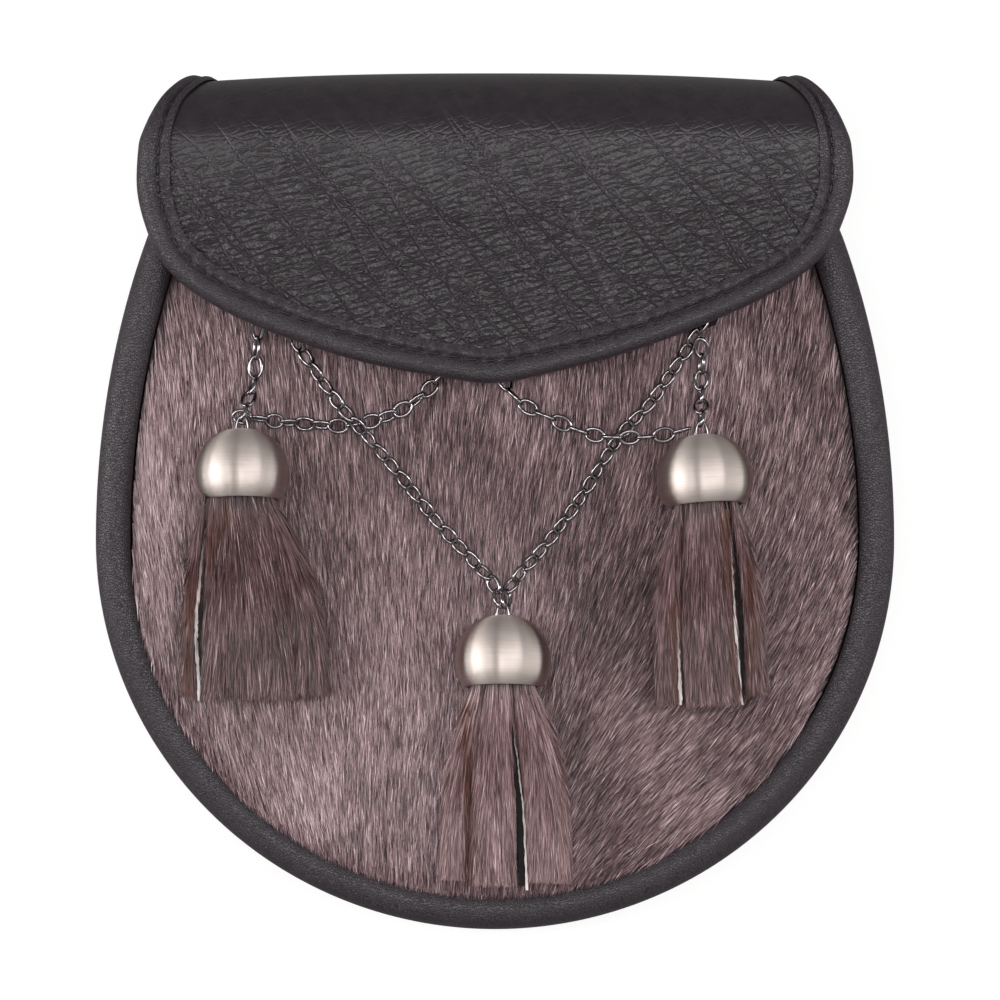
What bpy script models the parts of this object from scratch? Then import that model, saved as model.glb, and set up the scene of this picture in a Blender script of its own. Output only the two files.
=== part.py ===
"""A dress sporran pouch, lying on its back: +Z points out of the fur front, +Y towards the mouth.

A fur front in a rolled rim, a gusset and a back panel make the hollow pouch. A flap comes over the top from the
back. Fine chains from under the flap carry three bells with fur tassels. Sizes are in metres.
"""

import math

import bmesh
import bpy
import numpy as np
from mathutils import Matrix

# The pouch. The outline is two half ellipses that share the widest line, cut off straight at the mouth.
POUCH_WIDTH = 0.180
WIDEST_TO_BOTTOM = 0.08775
WIDEST_TO_MOUTH = 0.0870
SIDE_ELLIPSE_REACH = 0.139
WIDEST_Y = -0.0089
MOUTH_CORNER = 0.018
POUCH_DEPTH = 0.0375
LEATHER = 0.0018
CLEARANCE = 0.0003
OUTLINE_SAMPLES = 720

RIM_DIAMETER = 0.0090
RIM_SIDES = 8
# Share of the rim's width that shows beside the fur panel.
RIM_SEEN_SHARE = 0.91
# The rim and the fur panel have their corners abreast, so that the gap between them stays even.
FRONT_STATIONS = 44

FUR_PANEL_THICKNESS = 0.0030
FUR_PANEL_CROWN = 0.0070
FUR_EDGE_DROP = 0.0030
PANEL_RINGS = (1.0, 0.72, 0.38)

BACK_RISE = 0.0070
BACK_RISE_START = -0.047
BACK_RISE_END_GAP = 0.0020
BACK_INSET = 0.0050
BACK_ROWS = 22

GUSSET_STATIONS = 40
# Each row: height as a share of the gusset's own height, inset as a share of BACK_INSET.
GUSSET_SECTION = ((0.0, 1.1), (0.3, 0.62), (0.65, 0.6), (1.0, 1.0))

# The flap. Its middle line runs flat over the front, round the top and down on to the back panel.
FLAP_TOP = 0.09665
FLAP_TIP = 0.0262
FLAP_HALF_WIDTH = 0.0807
FLAP_LEATHER = 0.0020
FLAP_STAND_OFF = 0.0096
FLAP_SIDE_DROOP = 0.0060
FLAP_DROOP_POWER = 2.5
FLAP_ROLL_LENGTH = 0.0156
FLAP_TAIL = 0.0110
FLAP_LEAN = 0.040
# Shares of the width inside the binding at which the flap bends, from its middle out.
FLAP_COLUMNS = (0.0, 0.40, 0.75)
FLAP_BINDING_WIDTH = 0.0076
FLAP_BINDING_THICKNESS = 0.0050
# The binding's roll is fullest at this share of its width, by this much, and its inner lip is this share as thick.
BINDING_FULL_AT = 0.6
BINDING_FULLNESS = 1.06
BINDING_LIP = 0.55
# At the tip the two sides of the edge meet in a corner, so an inset line lies a little further in.
TIP_INSET_GAIN = 1.05
# Each row: distance up from the tip as a share of the flat front run, half width as a share of FLAP_HALF_WIDTH.
FLAP_FRONT_EDGE = (
    (0.000, 0.010),
    (0.022, 0.110),
    (0.060, 0.235),
    (0.105, 0.360),
    (0.165, 0.485),
    (0.235, 0.610),
    (0.315, 0.730),
    (0.415, 0.845),
    (0.530, 0.925),
    (0.660, 0.968),
    (0.820, 0.995),
    (1.000, 0.990),
)
# Each row: share of the way round the roll, half width as a share of FLAP_HALF_WIDTH.
FLAP_ROLL_EDGE = ((0.12, 0.972), (0.25, 0.940), (0.38, 0.900), (0.52, 0.865), (0.68, 0.845), (0.84, 0.835), (1.0, 0.83))
FLAP_TAIL_WIDTH_SHARE = 0.83
# Share of the way round the roll at which the binding ends, clear of the back panel.
BINDING_END_SHARE = 0.85

STUD_DIAMETER = 0.0090
STUD_Y = 0.0520
STUD_SIDES = 12

# The leather loops on the back, which hold the waist strap.
LOOP_WIDTH = 0.024
LOOP_TUNNEL = 0.0265
LOOP_FOOT = 0.0055
LOOP_SLOPE = 0.0035
LOOP_SPACING = 0.080
LOOP_GAP = 0.0005

# The chains.
LINK_WIRE = 0.00068
LINK_WIDTH = 0.0036
LINK_PITCH = 0.00385
LINK_OVERLAP = 0.00010
LINK_SEGMENTS = 10
LINK_SIDES = 5
CHAIN_SPREAD = 0.00124
ANCHOR_HOOP_HEIGHT = 0.0024
BELL_EYE_HEIGHT = 0.0030
HOOP_SINK = 0.0004
FINE_CHAIN_DIAMETER = 0.0024
FINE_CHAIN_STEP = 0.0035
FINE_CHAIN_SIDES = 6
FINE_CHAIN_STOP = 0.0009

ANCHOR_PLATE_DIAMETER = 0.0064
ANCHOR_PLATE_THICKNESS = 0.0008
ANCHOR_SIDES = 8
# Each row: name, place across as a share of the half width, place up from the widest line as a share of the depth
# down to the bottom edge, and the chain that the hoop faces. All places on the front are given this way.
ANCHORS = (
    ("left", -0.556, 0.602, "long_left"),
    ("center", -0.052, 0.520, "swag_left"),
    ("right", 0.525, 0.577, "long_right"),
)

# The bells and their tassels.
BELL_DIAMETER = 0.0215
BELL_HEIGHT = 0.0162
BELL_WALL = 0.0009
BELL_NOD = 7.0
BELL_SIDES = 14
BELL_INNER_ROWS = (0, 2, 4, 6, 8)
# Each row: way down from the crown as a share of the height, radius as a share of the bell's radius.
BELL_PROFILE = (
    (0.000, 0.000),
    (0.035, 0.380),
    (0.130, 0.640),
    (0.280, 0.840),
    (0.460, 0.960),
    (0.660, 1.000),
    (0.830, 0.965),
    (0.940, 0.880),
    (1.000, 0.775),
)
# Each row: name, place of the mouth's middle across and up, turn on the front in degrees.
BELLS = (("left", -0.6275, 0.1026, 0.0), ("center", 0.0195, -0.3718, 0.0), ("right", 0.5240, 0.0885, 3.5))

TASSEL_LENGTH = 0.0455
TASSEL_THICKNESS = 0.0070
TASSEL_NECK_THICKNESS = 0.0090
TASSEL_HEAD_DIAMETER = 0.0140
TASSEL_HEAD_LENGTH = 0.0070
TASSEL_HEAD_TAPER = 0.86
TASSEL_HEAD_SIDES = 12
TASSEL_FLARE = 2.2
# How much sooner than its foot a strip comes down to lie on the fur panel.
TASSEL_SETTLE = 1.6
STRIP_BEVEL = 0.28
# Shares of TASSEL_LENGTH from the bell's mouth.
TASSEL_STATIONS = (-0.10, 0.015, 0.14, 0.32, 0.60, 1.0)
# Each strip: left and right edge at the foot, left and right edge at the neck, all as shares of the bell's radius,
# then its underside and top as shares of TASSEL_THICKNESS, and its length as a share of TASSEL_LENGTH.
TASSEL_STRIPS = {
    "left": (
        (-1.32, -0.98, -0.58, -0.34, 0.00, 0.80, 0.985),
        (-0.90, 1.12, -0.42, 0.42, 0.00, 1.00, 1.0),
        (1.05, 1.80, 0.34, 0.58, 0.00, 0.78, 0.975),
    ),
    "center": (
        (-1.32, -0.74, -0.58, -0.32, 0.00, 0.85, 0.97),
        (-0.70, 0.28, -0.38, 0.16, 0.00, 1.00, 1.0),
        (0.46, 1.44, 0.10, 0.58, 0.00, 0.95, 0.985),
    ),
    "right": (
        (-1.27, -0.71, -0.58, -0.30, 0.00, 0.80, 0.985),
        (-0.61, 0.53, -0.36, 0.36, 0.00, 1.00, 1.0),
        (0.59, 1.09, 0.30, 0.58, 0.00, 0.85, 0.96),
    ),
}

# The chains' routes. Each row: place across, place up, and how many chain thicknesses it is lifted by the chain
# that it crosses. A route's ends are the anchors and the bells' eyes.
CHAIN_ROUTES = {
    "drop_left": ((-0.5900, 0.565, 0.5), (-0.5930, 0.520, 0.0), (-0.5970, 0.450, 0.0), (-0.6020, 0.400, 0.3)),
    "drop_right": ((0.5160, 0.470, 0.0), (0.5140, 0.430, 0.0), (0.5130, 0.385, 0.3)),
    "long_left": (
        (-0.5100, 0.530, 0.0),
        (-0.4600, 0.450, 0.0),
        (-0.4050, 0.370, 0.4),
        (-0.3530, 0.305, 1.0),
        (-0.3000, 0.242, 0.4),
        (-0.2400, 0.170, 0.0),
        (-0.1350, 0.036, 0.0),
        (-0.0600, -0.045, 0.2),
        (-0.0260, -0.084, 0.9),
        (0.0040, -0.118, 1.7),
    ),
    "long_right": (
        (0.4900, 0.505, 0.0),
        (0.4350, 0.421, 0.0),
        (0.3825, 0.344, 0.0),
        (0.3075, 0.262, 0.0),
        (0.2100, 0.103, 0.0),
        (0.1350, 0.000, 0.0),
        (0.0980, -0.045, 0.2),
        (0.0640, -0.084, 0.9),
        (0.0350, -0.118, 1.7),
    ),
    "swag_left": (
        (-0.5880, 0.312, 2.1),
        (-0.5450, 0.303, 1.0),
        (-0.5000, 0.299, 0.1),
        (-0.4350, 0.295, 0.0),
        (-0.3530, 0.293, 0.0),
        (-0.2400, 0.328, 0.0),
        (-0.1650, 0.385, 0.0),
        (-0.1150, 0.450, 0.0),
        (-0.0920, 0.515, 0.5),
    ),
    "swag_right": (
        (-0.0140, 0.515, 0.5),
        (0.0050, 0.450, 0.0),
        (0.0300, 0.390, 0.0),
        (0.0725, 0.344, 0.0),
        (0.1475, 0.308, 0.0),
        (0.2275, 0.272, 0.5),
        (0.3120, 0.262, 1.6),
        (0.3800, 0.264, 0.9),
        (0.4300, 0.270, 1.0),
        (0.4800, 0.285, 2.1),
    ),
}
ROUTE_SAMPLES = 24

# The flap's flat run ends where its roll begins, over the back panel's top edge. The loops lie just below its tail.
FLAP_RUN_END_Y = FLAP_TOP - FLAP_LEATHER / 2 - FLAP_ROLL_LENGTH
LOOP_HALF_LENGTH = LOOP_TUNNEL / 2 + LOOP_SLOPE + LOOP_FOOT
LOOP_MIDDLE_Y = FLAP_RUN_END_Y - FLAP_TAIL - LOOP_GAP - LOOP_HALF_LENGTH
BACK_RISE_END = LOOP_MIDDLE_Y - LOOP_HALF_LENGTH - BACK_RISE_END_GAP

HALF_WIDTH = POUCH_WIDTH / 2
RIM_RADIUS = RIM_DIAMETER / 2
RIM_Z = POUCH_DEPTH - RIM_RADIUS
PANEL_INSET = RIM_DIAMETER * RIM_SEEN_SHARE
PANEL_EDGE_Z = POUCH_DEPTH - FUR_EDGE_DROP
FLAP_Z = POUCH_DEPTH + FLAP_STAND_OFF
BINDING_NOSE = FLAP_BINDING_THICKNESS / 4
WIRE_RADIUS = LINK_WIRE / 2
BELL_RADIUS = BELL_DIAMETER / 2


def clear_scene():
    for thing in list(bpy.data.objects):
        bpy.data.objects.remove(thing, do_unlink=True)


def material(name, colour, roughness, metallic=0.0):
    made = bpy.data.materials.get(name) or bpy.data.materials.new(name)
    made.use_nodes = True
    shader = made.node_tree.nodes["Principled BSDF"]
    shader.inputs["Base Color"].default_value = (*colour, 1.0)
    shader.inputs["Roughness"].default_value = roughness
    shader.inputs["Metallic"].default_value = metallic
    return made


def fur_material():
    return material("grey_brown_fur", (0.160, 0.115, 0.115), 0.75)


def tassel_material():
    return material("brown_fur", (0.115, 0.070, 0.060), 0.75)


def leather_material():
    return material("black_leather", (0.030, 0.026, 0.029), 0.45)


def pewter_material():
    return material("brushed_pewter", (0.560, 0.500, 0.460), 0.32, 1.0)


def nickel_material():
    return material("dark_nickel", (0.300, 0.290, 0.290), 0.28, 1.0)


def mesh_object(name, points, faces, finish, smooth_angle=35.0):
    """An object from points and faces, whose faces are turned to point out of the closed form."""
    mesh = bpy.data.meshes.new(name)
    mesh.from_pydata([tuple(map(float, point)) for point in points], [], [tuple(map(int, face)) for face in faces])
    shell = bmesh.new()
    shell.from_mesh(mesh)
    bmesh.ops.recalc_face_normals(shell, faces=shell.faces)
    shell.to_mesh(mesh)
    shell.free()
    mesh.shade_smooth()
    mesh.set_sharp_from_angle(angle=math.radians(smooth_angle))
    made = bpy.data.objects.new(name, mesh)
    bpy.context.scene.collection.objects.link(made)
    made.data.materials.append(finish)
    return made


def fused(name, pieces, finish):
    """The union of the pieces as one body."""
    body = pieces[0]
    for piece in pieces[1:]:
        union = body.modifiers.new("join_" + piece.name, "BOOLEAN")
        union.operation = "UNION"
        union.solver = "EXACT"
        union.object = piece
    seen = body.evaluated_get(bpy.context.evaluated_depsgraph_get())
    mesh = bpy.data.meshes.new_from_object(seen)
    mesh.name = name
    for piece in pieces:
        bpy.data.objects.remove(piece, do_unlink=True)
    made = bpy.data.objects.new(name, mesh)
    bpy.context.scene.collection.objects.link(made)
    mesh.materials.clear()
    mesh.materials.append(finish)
    return made


def grid_faces(rows, columns, wrap_rows=False, wrap_columns=False):
    """Quads between the points of a grid that is numbered row by row."""
    faces = []
    for row in range(rows if wrap_rows else rows - 1):
        for column in range(columns if wrap_columns else columns - 1):
            across = (column + 1) % columns
            down = (row + 1) % rows
            faces.append(
                (row * columns + column, row * columns + across, down * columns + across, down * columns + column)
            )
    return faces


def swept(name, sections, finish, closed_path=False):
    """A solid through closed sections, all with as many points, with flat ends unless the path closes."""
    stations, sides = len(sections), len(sections[0])
    faces = grid_faces(stations, sides, wrap_rows=closed_path, wrap_columns=True)
    if not closed_path:
        faces.append(tuple(range(sides)))
        faces.append(tuple((stations - 1) * sides + side for side in range(sides)))
    return mesh_object(name, np.concatenate(sections), faces, finish)


def turned(name, profile, sides, finish):
    """A solid turned round +Z, from (height, radius) rows whose first and last radius are 0."""
    turn = np.linspace(0, 2 * math.pi, sides, endpoint=False)
    rings = [np.stack([r * np.cos(turn), r * np.sin(turn), np.full(sides, h)], 1) for h, r in profile[1:-1]]
    points = np.concatenate(rings + [[(0, 0, profile[0][0])], [(0, 0, profile[-1][0])]])
    faces = grid_faces(len(rings), sides, wrap_columns=True)
    first, last = len(rings) * sides, len(rings) * sides + 1
    low = (len(rings) - 1) * sides
    for side in range(sides):
        ahead = (side + 1) % sides
        faces.append((first, side, ahead))
        faces.append((last, low + ahead, low + side))
    return mesh_object(name, points, faces, finish)


def resampled(points, count, closed=False):
    """Points at equal steps along a line through the given ones."""
    if closed:
        points = np.concatenate([points, points[:1]])
    steps = np.linalg.norm(np.diff(points, axis=0), axis=1)
    along = np.concatenate([[0.0], np.cumsum(steps)])
    wanted = np.linspace(0, along[-1], count + 1 if closed else count)
    found = np.stack([np.interp(wanted, along, points[:, axis]) for axis in range(points.shape[1])], 1)
    return found[:-1] if closed else found


def smooth_line(points, samples):
    """A curve through the points, whose direction at each is that of its two neighbours."""
    points = np.asarray(points, float)
    ends = np.concatenate([[2 * points[0] - points[1]], points, [2 * points[-1] - points[-2]]])
    t = np.linspace(0, 1, samples, endpoint=False)[:, None]
    pieces = []
    for before, start, end, after in zip(ends, ends[1:], ends[2:], ends[3:]):
        leave, arrive = (end - before) / 2, (after - start) / 2
        bend = 2 * start - 2 * end + leave + arrive
        turn = -3 * start + 3 * end - 2 * leave - arrive
        pieces.append(start + leave * t + turn * t**2 + bend * t**3)
    return np.concatenate(pieces + [points[-1:]])


def half_width_at(y, inset=0.0):
    """Half the pouch's width at a height on the front."""
    reach = np.where(y < WIDEST_Y, WIDEST_TO_BOTTOM, SIDE_ELLIPSE_REACH) - inset
    return (HALF_WIDTH - inset) * np.sqrt(np.clip(1 - ((y - WIDEST_Y) / reach) ** 2, 0, 1))


def right_outline():
    """The pouch's outline in the plane of the front, from the bottom up the right side to the mouth's middle."""
    low = np.linspace(-math.pi / 2, 0, OUTLINE_SAMPLES)
    bottom = np.stack([HALF_WIDTH * np.cos(low), WIDEST_Y + WIDEST_TO_BOTTOM * np.sin(low)], 1)
    mouth_y = WIDEST_Y + WIDEST_TO_MOUTH
    side_y = np.linspace(WIDEST_Y, mouth_y - MOUTH_CORNER, OUTLINE_SAMPLES)[1:]
    side = np.stack([half_width_at(side_y), side_y], 1)
    corner = np.array([float(half_width_at(np.array(mouth_y))), mouth_y])
    end = corner - (MOUTH_CORNER, 0)
    t = np.linspace(0, 1, OUTLINE_SAMPLES // 4)[1:, None]
    bend = side[-1] * (1 - t) ** 2 + 2 * corner * t * (1 - t) + end * t**2
    return np.concatenate([bottom, side, bend, [(0, mouth_y)]])


def outline_and_inward():
    """Close points of the pouch's outline, anticlockwise from the bottom's middle, and the inward direction there."""
    right = resampled(right_outline(), OUTLINE_SAMPLES)
    left = right[-2:0:-1] * (-1, 1)
    loop = np.concatenate([right, left])
    ahead = np.roll(loop, -1, 0) - np.roll(loop, 1, 0)
    return loop, np.stack([-ahead[:, 1], ahead[:, 0]], 1) / np.linalg.norm(ahead, axis=1)[:, None]


def outline(inset, count):
    """The pouch's outline moved inwards, as points abreast of those at equal steps along the outline itself."""
    loop, inward = outline_and_inward()
    stations = resampled(np.concatenate([loop, inward], 1), count, closed=True)
    return stations[:, :2] + inset * stations[:, 2:] / np.linalg.norm(stations[:, 2:], axis=1)[:, None]


PANEL_OUTLINE = outline(PANEL_INSET, OUTLINE_SAMPLES)
PANEL_TURNS = np.arctan2(PANEL_OUTLINE[:, 1] - WIDEST_Y, PANEL_OUTLINE[:, 0])
PANEL_REACH = np.hypot(PANEL_OUTLINE[:, 0], PANEL_OUTLINE[:, 1] - WIDEST_Y)
PANEL_ORDER = np.argsort(PANEL_TURNS)


def front_z(x, y):
    """Height of the fur panel's face: highest in the middle, falling with the square of the way to its edge."""
    turn = np.arctan2(np.asarray(y) - WIDEST_Y, x)
    edge = np.interp(turn, PANEL_TURNS[PANEL_ORDER], PANEL_REACH[PANEL_ORDER], period=2 * math.pi)
    share = np.minimum(np.hypot(x, np.asarray(y) - WIDEST_Y) / edge, 1.0)
    return PANEL_EDGE_Z + FUR_PANEL_CROWN * (1 - share**2)


def seat_z(x, y, radius):
    """Height at which a disc of this radius just clears the fur panel."""
    turn = np.linspace(0, 2 * math.pi, FRONT_STATIONS)
    return float(front_z(x + radius * np.cos(turn), y + radius * np.sin(turn)).max()) + CLEARANCE


def back_z(y):
    """Height of the back panel's outer face: flat on the table below, raised over the strap loops."""
    share = np.clip((np.asarray(y) - BACK_RISE_START) / (BACK_RISE_END - BACK_RISE_START), 0, 1)
    return BACK_RISE * share**2 * (3 - 2 * share)


def on_front(across, up):
    return np.array([across * HALF_WIDTH, WIDEST_Y + up * WIDEST_TO_BOTTOM])


def make_fur_panel():
    centre = np.array([0.0, WIDEST_Y])
    edge = outline(PANEL_INSET, FRONT_STATIONS)
    rings = [centre + share * (edge - centre) for share in PANEL_RINGS]
    flat = np.concatenate(rings + [centre[None]])
    face_z = front_z(flat[:, 0], flat[:, 1])
    count = len(flat)
    points = np.concatenate([np.column_stack([flat, face_z]), np.column_stack([flat, face_z - FUR_PANEL_THICKNESS])])
    faces = grid_faces(len(rings), FRONT_STATIONS, wrap_columns=True)
    inner = (len(rings) - 1) * FRONT_STATIONS
    faces += [(inner + i, inner + (i + 1) % FRONT_STATIONS, count - 1) for i in range(FRONT_STATIONS)]
    faces += [tuple(count + corner for corner in reversed(face)) for face in faces]
    faces += [(i, count + i, count + (i + 1) % FRONT_STATIONS, (i + 1) % FRONT_STATIONS) for i in range(FRONT_STATIONS)]
    return mesh_object("fur_panel", points, faces, fur_material())


def make_rim():
    """The rolled leather rim: a round roll all round the front, whose inner side is cut back for the fur panel."""
    path = outline(RIM_RADIUS, FRONT_STATIONS)
    outer = outline(0.0, FRONT_STATIONS)
    outward = (outer - path) / np.linalg.norm(outer - path, axis=1)[:, None]
    turn = np.linspace(0, 2 * math.pi, RIM_SIDES, endpoint=False)
    across, up = RIM_RADIUS * np.cos(turn), RIM_RADIUS * np.sin(turn)
    limit = RIM_RADIUS - PANEL_INSET + CLEARANCE
    across = np.maximum(across, limit)
    sections = [
        np.column_stack([point[0] + across * out[0], point[1] + across * out[1], RIM_Z + up])
        for point, out in zip(path, outward)
    ]
    return swept("rim_binding", sections, leather_material(), closed_path=True)


def make_gusset():
    """The side wall, from the back panel up to the rim, round the pouch from one end of the mouth to the other."""
    mouth_y = WIDEST_Y + WIDEST_TO_MOUTH - MOUTH_CORNER
    top_z = RIM_Z - RIM_RADIUS - CLEARANCE
    loop, inward = outline_and_inward()
    start = len(loop) // 2
    path = np.roll(np.concatenate([loop, inward], 1), -start, 0)
    path = resampled(path[path[:, 1] < mouth_y], GUSSET_STATIONS)
    sections = []
    for point, way in zip(path[:, :2], path[:, 2:]):
        outer, inner = [], []
        for share, inset_share in GUSSET_SECTION:
            for wall, side in ((0.0, outer), (LEATHER, inner)):
                x, y = point + way * (BACK_INSET * inset_share + wall)
                low_z = float(back_z(y)) + LEATHER + CLEARANCE
                side.append((x, y, low_z + share * (top_z - low_z)))
        sections.append(np.array(outer + inner[::-1]))
    return swept("gusset", sections, leather_material())


def make_back_panel():
    turn = np.linspace(-math.pi / 2, 0, BACK_ROWS // 2)[1:]
    low_y = WIDEST_Y + (WIDEST_TO_BOTTOM - BACK_INSET) * np.sin(turn)
    high_y = np.linspace(WIDEST_Y, FLAP_RUN_END_Y, BACK_ROWS - len(low_y) + 1)[1:]
    rows_y = np.concatenate([low_y, high_y])
    half = half_width_at(rows_y, BACK_INSET)
    z = back_z(rows_y)
    points = np.concatenate(
        [
            np.column_stack([side * half, rows_y, z + lift])
            for side, lift in ((-1, 0), (1, 0), (1, LEATHER), (-1, LEATHER))
        ]
    )
    rows = len(rows_y)
    sections = [points[row::rows] for row in range(rows)]
    return swept("back_panel", sections, leather_material())


def flap_path(s):
    """Middle line of the flap as (y, z, angle) for the distance from the tip: flat, half an ellipse, flat tail."""
    s = np.atleast_1d(np.asarray(s, float))
    front = FLAP_RUN_END_Y - FLAP_TIP
    tail_z = BACK_RISE - CLEARANCE - FLAP_LEATHER / 2
    half_high = (FLAP_Z - tail_z) / 2
    turn = np.linspace(0, math.pi, OUTLINE_SAMPLES)
    roll_y = FLAP_TIP + front + FLAP_ROLL_LENGTH * np.sin(turn)
    roll_z = FLAP_Z - half_high + half_high * np.cos(turn)
    along = np.concatenate([[0.0], np.cumsum(np.hypot(np.diff(roll_y), np.diff(roll_z)))]) + front
    y = np.interp(s, along, roll_y)
    z = np.interp(s, along, roll_z)
    slope_y = np.gradient(roll_y, along)
    slope_z = np.gradient(roll_z, along)
    angle = np.interp(s, along, np.unwrap(np.arctan2(-slope_z, slope_y)))
    y = np.where(s < front, FLAP_TIP + s, y)
    y = np.where(s > along[-1], FLAP_TIP + front - (s - along[-1]), y)
    return y, z, np.where(s < front, 0.0, np.where(s > along[-1], math.pi, angle)), front, along[-1]


def flap_place(u, s, lift=0.0):
    """Point of the flap at u across and s along from the tip. The sides droop, and the droop fades to the tail."""
    y, z, angle, front, _ = flap_path(s)
    lean = FLAP_LEAN * u * np.clip(1 - np.asarray(s) / front, 0, 1)
    droop = FLAP_SIDE_DROOP * np.abs(u / FLAP_HALF_WIDTH) ** FLAP_DROOP_POWER * (1 + np.cos(angle)) / 2
    out = lift - droop
    return np.stack([u + 0 * y, y + lean + out * np.sin(angle), z + out * np.cos(angle)], -1)


def flap_rows():
    """Rows of the flap's outline as (distance from the tip, half width)."""
    _, _, _, front, roll_end = flap_path(0.0)
    rows = [(share * front, width * FLAP_HALF_WIDTH) for share, width in FLAP_FRONT_EDGE]
    rows += [(front + share * (roll_end - front), width * FLAP_HALF_WIDTH) for share, width in FLAP_ROLL_EDGE]
    rows.append((roll_end + FLAP_TAIL, FLAP_TAIL_WIDTH_SHARE * FLAP_HALF_WIDTH))
    return np.array(rows)


def inset_rows(rows, inset):
    """The outline's rows moved inwards, at right angles to the edge, and up from the tip."""
    ahead = np.gradient(rows, axis=0)
    ahead /= np.linalg.norm(ahead, axis=1)[:, None]
    moved = rows + inset * np.stack([ahead[:, 1], -ahead[:, 0]], 1)
    moved[0] = (rows[0, 0] + inset * TIP_INSET_GAIN, rows[0, 1])
    rolled = rows[:, 0] >= flap_path(0.0)[3]
    moved[rolled] = rows[rolled] - (0, inset)
    return moved


def make_flap():
    rows = inset_rows(flap_rows(), BINDING_NOSE + CLEARANCE)
    layers = []
    for lift in (FLAP_LEATHER / 2, -FLAP_LEATHER / 2):
        for s, half in rows:
            inside = max(half - FLAP_BINDING_WIDTH, half / 2)
            right = np.array([share * inside for share in FLAP_COLUMNS] + [inside, half])
            layers.append(flap_place(np.concatenate([-right[:0:-1], right]), np.full(2 * len(right) - 1, s), lift))
    columns = len(layers[0])
    count = len(rows) * columns
    faces = grid_faces(len(rows), columns)
    faces += [tuple(count + corner for corner in reversed(face)) for face in faces]
    border = list(range(columns))
    border += [row * columns + columns - 1 for row in range(1, len(rows))]
    border += [(len(rows) - 1) * columns + column for column in range(columns - 2, -1, -1)]
    border += [row * columns for row in range(len(rows) - 2, 0, -1)]
    for here, ahead in zip(border, border[1:] + border[:1]):
        faces.append((here, count + here, count + ahead, ahead))
    return mesh_object("flap", np.concatenate(layers), faces, leather_material())


def make_flap_binding():
    """A leather strip folded round the flap's edge, with the flap's leather in its fold."""
    rows = flap_rows()
    _, _, _, front, roll_end = flap_path(0.0)
    rows = rows[rows[:, 0] < front + (roll_end - front) * BINDING_END_SHARE]
    inner = inset_rows(rows, FLAP_BINDING_WIDTH)
    thick = FLAP_BINDING_THICKNESS / 2
    slot = FLAP_LEATHER / 2 + CLEARANCE
    lip = slot + (thick - slot) * BINDING_LIP
    nose = BINDING_NOSE / FLAP_BINDING_WIDTH
    section = (
        (0.0, 0.0),
        (nose, thick),
        (BINDING_FULL_AT, thick * BINDING_FULLNESS),
        (1.0, lip),
        (1.0, slot),
        (nose, slot),
        (nose, -slot),
        (1.0, -slot),
        (1.0, -lip),
        (nose, -thick),
    )
    sections = []
    for side in (-1, 1):
        order = range(len(rows) - 1, 0, -1) if side < 0 else range(1, len(rows))
        if side > 0:
            tip = [flap_place(0.0, rows[0, 0] + share * (inner[0, 0] - rows[0, 0]), lift)[0] for share, lift in section]
            sections.append(np.array(tip))
        for row in order:
            u = rows[row, 1] + np.array([share for share, _ in section]) * (inner[row, 1] - rows[row, 1])
            s = rows[row, 0] + np.array([share for share, _ in section]) * (inner[row, 0] - rows[row, 0])
            lift = np.array([lift for _, lift in section])
            sections.append(flap_place(side * u, s, lift))
    return swept("flap_binding", sections, leather_material())


def make_stud():
    """The closing stud under the flap's tip, on the fur panel."""
    low = seat_z(0.0, STUD_Y, STUD_DIAMETER / 2)
    high = FLAP_Z - FLAP_LEATHER / 2 - CLEARANCE
    profile = ((low, 0.0), (low, STUD_DIAMETER / 2), (high, STUD_DIAMETER / 2), (high, 0.0))
    stud = turned("closing_stud", profile, STUD_SIDES, nickel_material())
    stud.location = (0, STUD_Y, 0)
    return stud


def make_strap_loop(name, middle_x):
    """A strip sewn to the back at both ends, bowed out to the table so that a strap goes through along X."""
    top = BACK_RISE - CLEARANCE
    low = top - LEATHER
    inner_half = LOOP_TUNNEL / 2
    slope = LOOP_SLOPE
    half = [
        (LOOP_HALF_LENGTH, low),
        (inner_half + slope + LEATHER / 2, low),
        (inner_half + LEATHER / 2, 0.0),
    ]
    under = [(-y, z) for y, z in half] + half[::-1]
    over = [(LOOP_HALF_LENGTH, top), (inner_half + slope, top), (inner_half, LEATHER)]
    profile = under + over + [(-y, z) for y, z in over[::-1]]
    sections = [
        np.array([(middle_x + side * LOOP_WIDTH / 2, LOOP_MIDDLE_Y + y, z) for y, z in profile]) for side in (-1, 1)
    ]
    return swept(name, sections, leather_material())


def link_points(half_length):
    """Points of one oval link in its own plane, its length on X, its ends straight where the next link hangs."""
    half_across = (LINK_WIDTH - LINK_WIRE) / 2
    turn = (np.arange(LINK_SEGMENTS) + 0.5) * 2 * math.pi / LINK_SEGMENTS
    centre = np.stack([half_length * np.cos(turn), half_across * np.sin(turn), 0 * turn], 1)
    out = np.stack([np.cos(turn), np.sin(turn), 0 * turn], 1)
    around = math.pi + np.arange(LINK_SIDES) * 2 * math.pi / LINK_SIDES
    ring = np.cos(around)[None, :, None] * out[:, None, :] + np.sin(around)[None, :, None] * np.array([0, 0, 1.0])
    return (centre[:, None, :] + WIRE_RADIUS * ring).reshape(-1, 3)


def hoop_sections(height):
    """Sections of half a link, from foot to foot: the wire hoop that a chain hangs on. It stands up along X."""
    rings = link_points(height).reshape(LINK_SEGMENTS, LINK_SIDES, 3)
    feet = math.ceil(LINK_SEGMENTS / 4)
    return list(np.concatenate([rings[-feet:], rings[:feet]]))


def half_length_for(pitch):
    """Half length of the link's wire, so that links at this pitch sink into each other by LINK_OVERLAP."""
    return ((pitch - LINK_OVERLAP) / 2 + WIRE_RADIUS) / math.cos(math.pi / LINK_SEGMENTS)


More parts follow.
